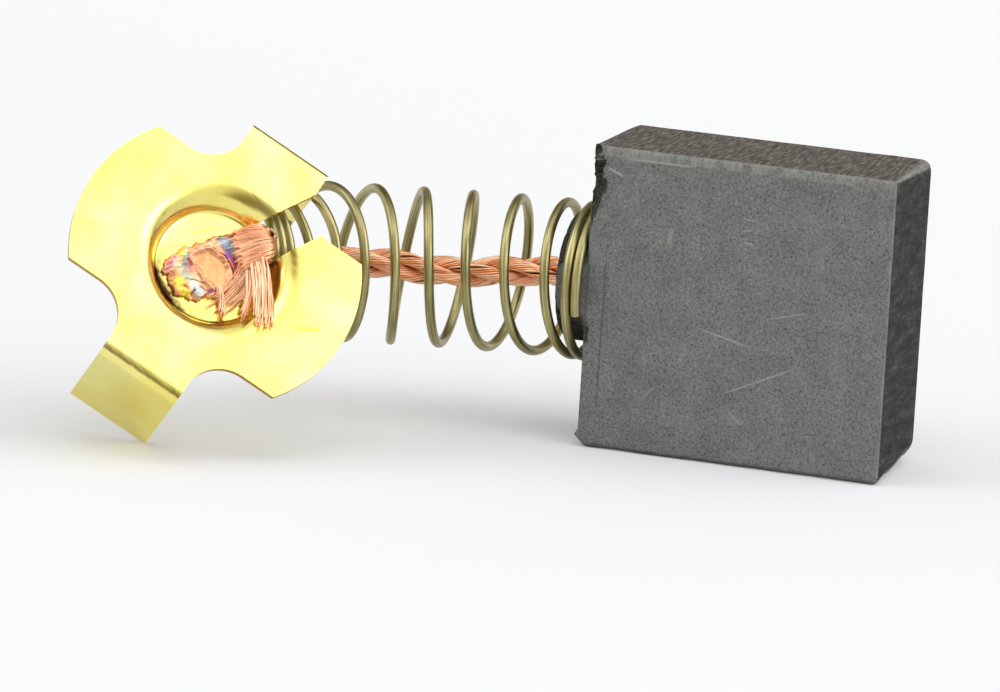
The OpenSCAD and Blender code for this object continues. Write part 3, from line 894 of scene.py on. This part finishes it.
def make_loose_wires(tree, material):
    """The bunches that came loose at the weld, flared and ragged at their ends."""
    for i, route in enumerate(LOOSE_ROUTES):
        mesh = grow(f"loose_route_{i + 1}", tree, smoothed(on_cap(route)), material, {
            **BUNCH, "Wires": 16, "Layer Radius": 0.14, "Core Radius": 0.07,
            "Wire Radius": 0.036, "Lay": 12, "Wire Turns": 0.4, "Stray": 0.16, "Flare": 1.5,
            "Ragged": 0.3, "Seed": SEED + i})
        put_on(mesh, f"loose_strands_{i + 1}", material, "lead_copper", f"loose_wires_{i + 1}")


# ---- terminal cap ----

def recess_profile():
    """The top of the sheet from the centre outwards, as radius and height."""
    u = np.linspace(1, 0, 90)
    wall_r = LIP_R - u * (LIP_R - FOOT_R)
    slope = np.tan(u ** 2 * (math.pi / 2 - WALL_LEAN))
    steps = (slope[1:] + slope[:-1]) / 2 * np.diff(wall_r)
    wall_h = np.concatenate([-np.cumsum(steps[::-1])[::-1], [0]])
    # A small round where the wall meets the floor.
    foot_r = FOOT_R - (RECESS_DEPTH + wall_h[0]) * math.tan(WALL_LEAN)
    t = np.linspace(0, 1, 12)[:, None]
    foot = ((1 - t) ** 2 * (foot_r - 0.3, -RECESS_DEPTH)
            + 2 * t * (1 - t) * (foot_r, -RECESS_DEPTH) + t * t * (FOOT_R, wall_h[0]))
    radius = np.concatenate([[0], foot[:-1, 0], wall_r, [CAP_R + 1]])
    height = np.concatenate([[-RECESS_DEPTH], foot[:-1, 1], wall_h, [0]])
    return radius, height


def in_blank(x, y):
    """Whether a point of the flat blank is brass."""
    if abs(y) > BEND_Y:
        return abs(x) < TAB_W / 2 and abs(y) < BEND_Y + flat_tab()
    if math.hypot(x, y) > CAP_R:
        return False
    reach_x, reach_y = abs(x) - TAB_W / 2, abs(y) - SCALLOP_Y
    if reach_x > 0 and reach_y > 0:
        in_corner = reach_x < SCALLOP_R and reach_y < SCALLOP_R
        rounded = math.hypot(reach_x - SCALLOP_R, reach_y - SCALLOP_R) > SCALLOP_R
        if not (in_corner and rounded):
            return False
    sx = x * math.cos(SLOT_TURN) - y * math.sin(SLOT_TURN) - SLOT_SHIFT
    sy = x * math.sin(SLOT_TURN) + y * math.cos(SLOT_TURN) - SLOT_END
    return not (math.hypot(sx, sy) < SLOT_W / 2 or (sy > 0 and abs(sx) < SLOT_W / 2))


def flat_tab():
    """Length of a tab in the flat blank, from the start of its bend."""
    return math.pi / 2 * BEND_OUTER + TAB_L - BEND_OUTER


def arc(centre, radius, start, end, step=0.12):
    """Points of an arc, about a step apart."""
    n = max(3, round(abs(end - start) * radius / step))
    a = np.linspace(start, end, n + 1)
    return np.stack([centre[0] + radius * np.cos(a), centre[1] + radius * np.sin(a)], axis=1)


def straight(start, end, step=0.15):
    """Points of a straight line, about a step apart."""
    n = max(1, round(math.dist(start, end) / step))
    return np.linspace(start, end, n + 1)


def blank_lines():
    """Every line that bounds the blank. They may cross: the triangulation splits them."""
    half = TAB_W / 2
    lines = [arc((0, 0), CAP_R, 0, 2 * math.pi)]
    for sx, sy in itertools.product((1, -1), repeat=2):
        centre = (half + SCALLOP_R, SCALLOP_Y + SCALLOP_R)
        corner = [arc(centre, SCALLOP_R, math.pi, 1.5 * math.pi),
                  straight((half, centre[1]), (half, BEND_Y + flat_tab())),
                  straight((centre[0], SCALLOP_Y), (CAP_R, SCALLOP_Y))]
        lines += [line * (sx, sy) for line in corner]
    for sy in (1, -1):
        top = sy * (BEND_Y + flat_tab())
        lines.append(straight((-half, top), (half, top)))
        lines.append(straight((-half, sy * BEND_Y), (half, sy * BEND_Y)))
    c, s = math.cos(SLOT_TURN), math.sin(SLOT_TURN)
    turn = np.array([[c, -s], [s, c]])
    centre = np.array((SLOT_SHIFT, SLOT_END))
    for side in (1, -1):
        mouth = centre + (side * SLOT_W / 2, 0)
        lines.append(straight(mouth, mouth + (0, CAP_R - SLOT_END)) @ turn)
    lines.append(arc(centre, SLOT_W / 2, math.pi, 2 * math.pi) @ turn)
    return lines


def blank_points():
    """Points inside the blank: rings round the recess, rows over the bends, a grid between."""
    points = []
    for r in np.concatenate([np.arange(0.3, 2.6, 0.3), np.arange(2.6, 5.2, 0.07),
                             np.arange(5.4, CAP_R, 0.3)]):
        points.append(arc((0, 0), r, 0, 2 * math.pi, 0.12 if 2.5 < r < 5.3 else 0.3)[:-1])
    bend = math.pi / 2 * BEND_OUTER
    rows = np.concatenate([BEND_Y + np.linspace(-BEND_LEAD, bend, 22),
                           np.arange(BEND_Y + bend + 0.3, BEND_Y + flat_tab() - 0.1, 0.3)])
    for y, side in itertools.product(rows, (1, -1)):
        points.append(straight((-TAB_W / 2 + 0.12, side * y), (TAB_W / 2 - 0.12, side * y), 0.25))
    return np.concatenate(points)


def bend_profile():
    """The way out, the height and the slope of a tab's sheet along its own length.

    The sheet starts to lean before the bend proper, as pressed sheet does.
    """
    turn = math.pi / 2 * BEND_OUTER
    before = np.linspace(-BEND_LEAD, 0, 30)
    s = np.concatenate([before, np.linspace(0, turn, 40)[1:], [turn + 0.5, flat_tab()]])
    lean = math.radians(9)
    bent = ease(0.25 + 0.5 * np.clip(s / turn, 0, 1))
    share = (bent - bent[len(before)]) / (bent[-1] - bent[len(before)])
    angle = np.where(s < 0, lean * (1 + s / BEND_LEAD) ** 2,
                     lean + share * (math.pi / 2 - lean))
    middle = (angle[1:] + angle[:-1]) / 2
    out = np.concatenate([[0], np.cumsum(np.diff(s) * np.cos(middle))]) - BEND_LEAD
    fall = -np.concatenate([[0], np.cumsum(np.diff(s) * np.sin(middle))])
    out += (TAB_REACH - BEND_Y - out[-1]) * np.clip(s / turn, 0, 1)
    return (s, out), (s, fall), (s, angle)


def folded(flat):
    """Points of the blank pressed and folded, with the sheet's outward normals there."""
    x, y = flat.T
    radius, height = recess_profile()
    r = np.hypot(x, y)
    h = np.interp(r, radius, height)
    slope = (np.interp(r + 0.02, radius, height) - np.interp(r - 0.02, radius, height)) / 0.04
    over = 1 / np.maximum(r, 1e-6)
    normal = np.stack([-slope * x * over, -slope * y * over, np.ones(len(x))], axis=1)
    place = np.stack([x, y, h], axis=1)

    past = np.abs(y) - BEND_Y
    side = np.sign(y)
    out, fall, angle = (np.interp(past, *pair) for pair in bend_profile())
    on_tab = past > -BEND_LEAD
    tab = np.stack([x, side * (BEND_Y + out), fall], axis=1)
    tab_normal = np.stack([0 * x, side * np.sin(angle), np.cos(angle)], axis=1)
    place = np.where(on_tab[:, None], tab, place)
    normal = np.where(on_tab[:, None], tab_normal, normal)
    return place, normal / np.linalg.norm(normal, axis=1)[:, None]


# Darkening of the recess's wall, partly smoke of the weld and partly painted shade and painted
# dark reflection at the foot of the wall and in a ring on the left: where it lies, in degrees
# round the cap, and how far to each side; its radius and half width; how dark it is, and whether
# that is ragged.
SOOT_AND_SHADE_BANDS = [(-122, 32, 3.15, 0.34, 1.3, True), (-75, 42, 3.62, 0.18, 0.42, False),
         (178, 36, 3.88, 0.4, 0.42, True), (-80, 40, 3.1, 0.12, 0.4, False)]


def soot_and_shade(flat):
    """How dark the recess is with weld soot and painted shade: mostly the foot of its wall, at the
    lower left.
    """
    r = np.hypot(*flat.T)
    round_to = np.degrees(np.arctan2(flat[:, 1], flat[:, 0]))
    deep = np.column_stack([flat, 0 * r])
    ragged = 0.25 * noise(deep, 0.35, 31) + 0.15 * noise(deep, 0.14, 32)
    total = 0
    for angle, reach, radius, width, dark, broken in SOOT_AND_SHADE_BANDS:
        off = (round_to - angle + 180) % 360 - 180
        band = np.exp(-(off / reach) ** 2 - ((r - radius + 0.3 * ragged) / width) ** 2)
        total += dark * band * (1 + ragged * broken)
    return np.clip(total, 0, 1)


def doubled(faces):
    """Close a top into a shell: its faces, the same below it, and quads along the open edge.

    Returns the shell's faces and which points of the top it uses. Those come first as the
    top and then as the underside.
    """
    used = sorted({i for face in faces for i in face})
    renumber = {old: new for new, old in enumerate(used)}
    top = [[renumber[i] for i in face] for face in faces]
    count = len(used)
    edges = {}
    for face in top:
        for edge in zip(face, face[1:] + face[:1]):
            if edges.pop(edge[::-1], None) is None:
                edges[edge] = True
    walls = [(b, a, a + count, b + count) for a, b in edges]
    return top + [[i + count for i in face[::-1]] for face in top] + walls, used


def make_cap(material):
    """The blanked, pressed and folded sheet, as a triangulated blank with a thickness."""
    seeds, edges = [p for p in blank_points() if in_blank(*p)], []
    for line in blank_lines():
        first = len(seeds)
        seeds += list(line)
        edges += [(first + i, first + i + 1) for i in range(len(line) - 1)]
    flat, _, triangles, *_ = delaunay_2d_cdt([Vector(p) for p in seeds], edges, [], 0, 1e-4)
    flat = np.array([tuple(p) for p in flat])
    faces, used = doubled([t for t in triangles if in_blank(*flat[t].mean(axis=0))])
    flat = flat[used]

    place, normal = folded(flat)
    # Sheet is never quite flat: slow waves that bend what it mirrors.
    wave = 0.02 * noise(np.column_stack([place[:, :2], 0 * flat[:, 0]]), 4.5, 11)
    place = place + normal * np.minimum(wave, 0.0)[:, None]
    every = on_cap(np.concatenate([place, place - SHEET * normal]))
    mesh = new_mesh("terminal_cap_sheet", every, faces, smooth_angle=50)
    # Only the cut edge is made of quads.
    set_value(mesh, "rim", [len(face.vertices) == 4 for face in mesh.polygons], on="FACE")
    set_value(mesh, "soot_and_shade", carried(mesh, every, np.tile(soot_and_shade(flat), 2)))
    return put_on(mesh, "pressed_brass_cap", material, "cap_brass", "terminal_cap")


# ---- welded end ----

# Outline of the copper that was pressed flat in the recess, in the cap's frame.
PAD = [(0.97, 3.3), (0.51, 3.05), (-0.04, 2.51), (-0.41, 2.1), (-0.72, 1.75), (-0.95, 1.33),
       (-1.2, 0.95), (-1.5, 0.55), (-1.85, 0.1), (-2.18, -0.46), (-2.36, -1.09), (-2.4, -1.5),
       (-2.15, -1.75), (-1.95, -2.05), (-1.6, -2.1), (-1.25, -2.45), (-0.85, -2.65), (-0.5, -2.6),
       (-0.1, -2.4), (0.4, -2.3), (0.75, -1.75), (1.15, -1.35), (1.45, -0.7), (1.65, 0.1),
       (1.84, 1.14), (2.2, 1.7), (2.26, 2.28), (2.02, 2.85), (1.5, 3.15)]
# The square that the welding head pressed.
FACET = [(-1.2, -0.3), (-0.65, 0.62), (0.2, 0.62), (0.85, 0.25), (1.25, -0.45), (1.02, -1.1),
         (0.15, -0.9)]
# Tints of the heat and of the pressing, and painted shade where the lead lies in shadow in the
# slot: place, reach along and across, turn in degrees, colour.
TINTS_AND_SLOT_SHADE = [
    (-0.9, 0.9, 0.55, 0.3, 45, "#F3BC96"), (0.9, 2.1, 0.9, 0.8, 40, "#F3AE90"),
    (-1.95, -1.25, 0.22, 0.45, 0, "#DB9FA8"), (-1.35, -2.15, 0.5, 0.25, -30, "#EFA068"),
    (-1.75, -0.45, 0.25, 0.32, 0, "#F0D468"), (-1.0, -1.95, 0.32, 0.38, 30, "#F3C850"),
    (-0.4, -2.3, 0.4, 0.22, 0, "#F8D850"), (0.9, -1.55, 0.3, 0.45, 30, "#F5C070"),
    (1.4, 0.0, 0.25, 0.7, 0, "#F8BC90"),
    (-1.48, -0.42, 0.2, 0.34, 20, "#A7B09B"), (-1.25, -0.95, 0.26, 0.32, 30, "#9FB09A"),
    (-0.9, -1.35, 0.36, 0.26, 20, "#A9B79F"), (-0.35, -1.55, 0.46, 0.26, 10, "#B4BFA4"),
    (0.15, -1.78, 0.48, 0.28, -15, "#B7C8C6"), (0.7, -1.35, 0.3, 0.18, 45, "#9A6A86"),
    (-1.05, -0.72, 0.12, 0.4, 40, "#C97F8C"),
    (-0.05, 1.45, 0.72, 0.33, -20, "#8FA6B2"), (0.02, 1.3, 0.3, 0.12, -20, "#B9CCD0"),
    (0.42, 1.02, 0.3, 0.22, -20, "#86609A"), (0.8, 0.86, 0.3, 0.2, -30, "#B24F83"),
    (1.08, 0.62, 0.26, 0.18, -40, "#A63E42"), (0.02, 2.02, 0.34, 0.16, 30, "#8E3440"),
    (-0.5, 0.8, 0.14, 0.1, 0, "#A27F62"), (-0.75, 0.55, 0.16, 0.08, 30, "#B58A66"),
    (-0.3, -1.3, 0.6, 0.05, 17, "#33393A"), (-0.12, -1.95, 0.07, 0.3, 10, "#3A1E14"),
    (-0.55, -2.02, 0.16, 0.1, 0, "#8A3222"), (0.25, -1.5, 0.2, 0.05, -10, "#4A5350"),
    # Painted shade: the lead in shadow where it comes through the slot.
    (1.95, 2.55, 0.34, 0.5, -40, "#5C2013"), (2.2, 1.9, 0.2, 0.35, 0, "#7A2E1C"),
]


# Heights over the flat lobes: of the fused wires, of the pressed square, and of the fold over
# the pad. The wires fan out from a point beyond the slot.
WIRES_Z = -0.66
FACET_Z = -0.72
FOLD_RISE = 0.72
FAN_FROM = (2.6, 3.9)
# The pad reaches this far under the recess's floor, so that no gap shows.
PAD_UNDER = 0.01
PAD_GRID = 0.045


def outline_depth(points, outline):
    """How far points lie inside a closed outline: negative outside it."""
    corners = np.array(outline, float)
    nearest = np.full(len(points), 1e9)
    inside = np.zeros(len(points), bool)
    for a, b in zip(corners, np.roll(corners, -1, axis=0)):
        along = b - a
        t = np.clip(((points - a) @ along) / (along @ along), 0, 1)
        nearest = np.minimum(nearest, np.linalg.norm(points - a - t[:, None] * along, axis=1))
        crosses = (a[1] > points[:, 1]) != (b[1] > points[:, 1])
        level = (points[:, 1] - a[1]) / (along[1] if along[1] else 1e-9)
        inside ^= crosses & (points[:, 0] < a[0] + level * along[0])
    return np.where(inside, nearest, -nearest)


def fold_rise(flat):
    """How far the folded lead rises over the pad: 0 on the pad, 1 at the slot."""
    along = flat @ (0.62, 0.78) - 1.25
    return ease(along / 1.5)


def pad_surface(flat):
    """Height and colour of the pressed copper at points of the cap's frame."""
    deep = np.column_stack([flat, 0 * flat[:, 0]])
    # Streaks follow the angle of the wires.
    off = flat - np.array(FAN_FROM)
    angle = np.arctan2(off[:, 1], off[:, 0])
    far = np.linalg.norm(off, axis=1)
    fan = np.column_stack([angle * 16, far * 0.5, 0 * far])
    streak = 0.6 * noise(fan, 0.7, 21) + 0.5 * noise(fan, 0.3, 22)
    facet = ease(outline_depth(flat, FACET) / 0.14)
    rise = fold_rise(flat)
    height = WIRES_Z + (0.05 + 0.06 * rise) * streak + 0.06 * noise(deep, 0.5, 23)
    height = height * (1 - facet) + (FACET_Z + 0.008 * streak) * facet
    rim = np.clip(1 - np.abs(outline_depth(flat, FACET) + 0.14) / 0.16, 0, 1)
    height += 0.07 * rim + FOLD_RISE * rise
    ragged = 0.16 * noise(deep, 0.3, 24) + 0.08 * noise(deep, 0.12, 26)
    edge = np.clip((outline_depth(flat, PAD) + ragged) / 0.34, 0, 1)
    height = -RECESS_DEPTH + (height + RECESS_DEPTH) * np.sqrt(edge)

    colour = np.tile(linear("#F2A77C")[:3], (len(flat), 1))
    tints = [(ease(outline_depth(flat, FACET) / 0.1), "#F6AE78")]
    wobble = flat + 0.09 * np.column_stack([noise(deep, 0.3, 27), noise(deep, 0.3, 28)])
    for x, y, reach_x, reach_y, turn, tint in TINTS_AND_SLOT_SHADE:
        c, s = math.cos(math.radians(turn)), math.sin(math.radians(turn))
        dx, dy = (wobble - (x, y)).T
        out = ((dx * c + dy * s) / reach_x) ** 2 + ((dy * c - dx * s) / reach_y) ** 2
        tints.append((np.exp(-out ** 1.5), tint))
    for weight, tint in tints:
        colour += weight[:, None] * (np.array(linear(tint)[:3]) - colour)
    # Painted shade in the grooves between the pressed wires and painted light on their ridges,
    # along the same streaks as the height.
    groove_shade = np.clip(0.92 + (0.28 + 0.3 * rise) * streak * (1 - 0.6 * facet), 0.3, 1.15)
    return height, colour * groove_shade[:, None]


def make_weld(material):
    """The fused pad as a height field on the recess floor, closed underneath."""
    low, high = np.min(PAD, axis=0) - 0.3, np.max(PAD, axis=0) + 0.3
    xs, ys = (np.arange(low[k], high[k] + PAD_GRID, PAD_GRID) for k in (0, 1))
    x, y = np.meshgrid(xs, ys, indexing="ij")
    flat = np.column_stack([x.ravel(), y.ravel()])
    height, colour = pad_surface(flat)
    kept = (outline_depth(flat, PAD) > -0.1) & (height > 0.02 - RECESS_DEPTH)
    faces, used = doubled([q for q in grid_faces(len(xs), len(ys)).tolist() if kept[q].all()])
    floor = np.full(len(used), -PAD_UNDER - RECESS_DEPTH)
    every = on_cap(np.concatenate([np.column_stack([flat[used], height[used]]),
                                   np.column_stack([flat[used], floor])]))
    mesh = new_mesh("welded_pad", every, faces)
    tint = mesh.attributes.new("tint", "FLOAT_COLOR", "POINT")
    opaque = np.column_stack([colour[used], np.ones(len(used))])
    rgba = carried(mesh, every, np.tile(opaque, (2, 1)), missing=np.ones(4))
    tint.data.foreach_set("color", np.array(rgba, np.float32).ravel())
    return put_on(mesh, "pressed_weld", material, "welded_copper", "welded_end")


# Strands of the folded end, from the slot over the fold and down on to the pad.
FOLD_ROUTES = [
    [(1.1, 3.2, -0.3), (0.95, 3.0, 0.0), (0.55, 2.6, -0.05), (0.2, 2.2, -0.3), (0.0, 1.95, -0.6)],
    [(1.5, 3.1, -0.3), (1.35, 2.9, 0.1), (0.9, 2.4, 0.08), (0.5, 1.95, -0.2), (0.2, 1.6, -0.6)],
    [(1.8, 2.9, -0.3), (1.65, 2.65, 0.12), (1.25, 2.15, 0.12), (0.85, 1.65, -0.2),
     (0.5, 1.2, -0.6)],
    [(2.05, 2.7, -0.3), (1.9, 2.4, 0.14), (1.55, 1.85, 0.12), (1.15, 1.3, -0.2),
     (0.85, 0.9, -0.6)],
    [(2.2, 2.4, -0.3), (2.1, 2.1, 0.12), (1.85, 1.6, 0.14), (1.5, 1.05, -0.1), (1.25, 0.6, -0.6)],
]
# Single wires that lie on the floor of the recess between the pad and the loose strands.
FAN_ROUTES = [
    [(1.3, 0.9, -0.4), (1.4, 0.2, -0.55), (1.3, -0.6, -0.66), (1.05, -1.5, -0.78),
     (0.7, -2.25, -0.88)],
    [(1.5, 0.95, -0.35), (1.7, 0.2, -0.5), (1.65, -0.7, -0.66), (1.45, -1.5, -0.78),
     (1.2, -2.2, -0.86)],
    [(1.65, 1.0, -0.3), (2.0, 0.2, -0.45), (2.1, -0.6, -0.6), (1.95, -1.3, -0.74),
     (1.7, -1.95, -0.82)],
    [(1.75, 1.1, -0.25), (2.2, 0.4, -0.4), (2.42, -0.2, -0.52), (2.42, -0.75, -0.64),
     (2.25, -1.3, -0.75)],
]


# The two kinds: routes, wires in a bunch, radius of its layer and of a wire, flare and stray.
FOLD_KINDS = {"folded_strands": (FOLD_ROUTES, 24, 0.27, 0.036, 0.9, 0.09),
              "fanned_wires": (FAN_ROUTES, 10, 0.16, 0.032, 1.7, 0.22)}


def make_fold(tree, material):
    """Bright strands that were folded over the slot's lip, and wires that fan out below."""
    for name, (routes, wires, layer, wire_r, flare, stray) in FOLD_KINDS.items():
        for i, route in enumerate(routes):
            mesh = grow(f"{name}_route_{i + 1}", tree, smoothed(on_cap(route)), material, {
                **BUNCH, "Wires": wires, "Layer Radius": layer, "Core Radius": 0.6 * layer,
                "Wire Radius": wire_r, "Lay": 14, "Wire Turns": 0.6, "Stray": stray,
                "Flare": flare, "Ragged": 0.25, "Seed": SEED + 20 + i})
            put_on(mesh, f"{name}_{i + 1}", material, "lead_copper")


# ---- floor, light and camera ----

# Half the width of the floor, in metres.
FLOOR_HALF = 3.0
# White to the eye, a little below full so that it doesn't clip.
BACKDROP = "#FCFDFC"
# What the bright metal mirrors of the dark room.
ROOM = "#8A7C66"
# The two level directions across and towards the camera.
RIGHTWARDS = (0.966, 0.259, 0)
FRONTWARDS = (0.259, -0.966, 0)
# Soft boxes: direction, distance, width and height in metres, power in watts.
LAMPS = {
    "right_box": ((0.75, 0.02, 0.66), 1.0, 1.2, 1.2, 4.6),
    "left_box": ((-0.71, -0.41, 0.57), 1.1, 0.85, 0.85, 3.6),
    "right_strip": ((0.89, -0.02, 0.45), 1.0, 0.8, 0.26, 2.0),
    "top_box": ((0.08, -0.35, 0.93), 1.0, 0.5, 0.4, 1.4),
}
# The camera: focal length, place, and turn in degrees.
LENS = 295.28
EYE = (124.958, -421.287, 106.491)
EYE_TURN = (77.0047, -3.1552, 19.0452)


def seen_directly(node):
    """1 for rays of the camera and for those that a mirror or glass passes on, else 0."""
    ray = node("LightPath")
    passed = node("Math MAXIMUM", (ray.outputs["Is Glossy Ray"],
                                   ray.outputs["Is Transmission Ray"]))
    return node("Math MAXIMUM", (ray.outputs["Is Camera Ray"], passed))


def studio_paper(node, mm):
    """Matt studio paper: pale, and rising to white behind the object, with its soft shadow.

    The eye sees the white directly, and so does what mirrors the paper.
    """
    paper = node("BsdfPrincipled", {"Base Color": "#ECEDEF", "Roughness": 0.9,
                                    "Specular IOR Level": 0.1})
    away = node("SeparateXYZ", mm).outputs["Y"]
    whiter = node("MapRange", (away, -10.0, 160.0, 0.12, 0.95))
    seen = node("Math MULTIPLY", (seen_directly(node), whiter))
    white = node("Emission", {"Color": BACKDROP, "Strength": 1.0})
    return node("MixShader", (seen, paper, white))


def make_floor():
    """A level sheet of paper under the object."""
    mesh = bpy.data.meshes.new("pale_floor")
    half = FLOOR_HALF
    mesh.from_pydata([(-half, -half, 0), (half, -half, 0), (half, half, 0), (-half, half, 0)],
                     [], [(0, 1, 2, 3)])
    floor = bpy.data.objects.new("pale_floor", mesh)
    bpy.context.scene.collection.objects.link(floor)
    mesh.materials.append(new_material("pale studio paper", studio_paper))


def make_world():
    """A light tent: white all round, but open on the camera's side and over the backdrop.

    The camera sees it as white. What mirrors it shows the dark opening between the two
    soft boxes and the dark room over the backdrop, and this draws the shape of bright metal.
    """
    world = bpy.data.worlds.new("studio")
    bpy.context.scene.world = world
    world.use_nodes = True
    world.node_tree.nodes.clear()
    node = partial(add, world.node_tree)
    smooth = partial(node, "MapRange", interpolation_type="SMOOTHSTEP")
    way = node("TexCoord").outputs["Generated"]
    to_right, to_front = (node("VectorMath DOT_PRODUCT", (way, level)).outputs["Value"]
                          for level in (RIGHTWARDS, FRONTWARDS))
    high = node("SeparateXYZ", way).outputs["Z"]
    dark = node("Math MULTIPLY", (smooth((to_right, 0.48, 0.34)), smooth((to_right, -0.06, 0.14))))
    dark = node("Math MULTIPLY", (dark, smooth((to_front, 0.2, 0.5))))
    behind = node("Math MULTIPLY", (smooth((to_front, -0.3, -0.55)), smooth((high, 0.12, 0.34))))
    dark = node("Math MAXIMUM", (dark, behind))
    tone = node("Mix RGBA", {"Factor": dark, "A": (1, 1, 1, 1), "B": ROOM})
    seen = node("Background", {"Color": tone, "Strength": 1.0})
    level = node("MapRange", (high, 0.0, 1.0, 0.54, 0.6))
    soft = node("Background", {"Color": (1, 1, 1, 1), "Strength": level})
    white = node("Background", {"Color": BACKDROP, "Strength": 1.0})
    mixed = node("MixShader", (seen_directly(node), soft, seen))
    mixed = node("MixShader", (node("LightPath").outputs["Is Camera Ray"], mixed, white))
    node("OutputWorld", {"Surface": mixed})


def make_lamp(name, direction, distance, width, height, power):
    """A soft box that looks at the object from a direction."""
    lamp = bpy.data.lights.new(name, "AREA")
    lamp.shape = "RECTANGLE"
    lamp.size, lamp.size_y = width, height
    lamp.energy = power
    box = bpy.data.objects.new(name, lamp)
    way = Vector(direction).normalized()
    box.location = (CAD_BOX[0] + CAD_BOX[1]) / 2 + distance * way
    box.rotation_euler = way.to_track_quat("Z", "Y").to_euler()
    bpy.context.scene.collection.objects.link(box)


def make_camera():
    """A long lens that looks down a little from the near left."""
    camera = bpy.data.cameras.new("camera")
    camera.lens = LENS
    camera.sensor_width = 36
    camera.clip_start = 0.01
    eye = bpy.data.objects.new("camera", camera)
    eye.location = np.array(EYE) * MM
    eye.rotation_euler = [math.radians(a) for a in EYE_TURN]
    bpy.context.scene.collection.objects.link(eye)
    bpy.context.scene.camera = eye


def main():
    """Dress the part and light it."""
    strands = strand_tree()
    copper = new_material("annealed copper wire", copper_wire)
    make_camera()
    make_block(new_material("ground electrographite", electrographite))
    make_spring(new_material("drawn spring wire", drawn_spring_wire))
    make_cap(new_material("bright rolled brass", bright_brass))
    make_weld(new_material("heat tinted copper", heat_tinted_copper))
    make_lead(strands, copper)
    make_loose_wires(strands, copper)
    make_fold(strands, copper)
    plug = frame["nodes"]["tamping_plug"]
    plug.data.materials.clear()
    plug.data.materials.append(new_material("tamped graphite powder", tamped_graphite))
    make_floor()
    make_world()
    for name, settings in LAMPS.items():
        make_lamp(name, *settings)
    bpy.context.scene.view_settings.view_transform = "Standard"


main()
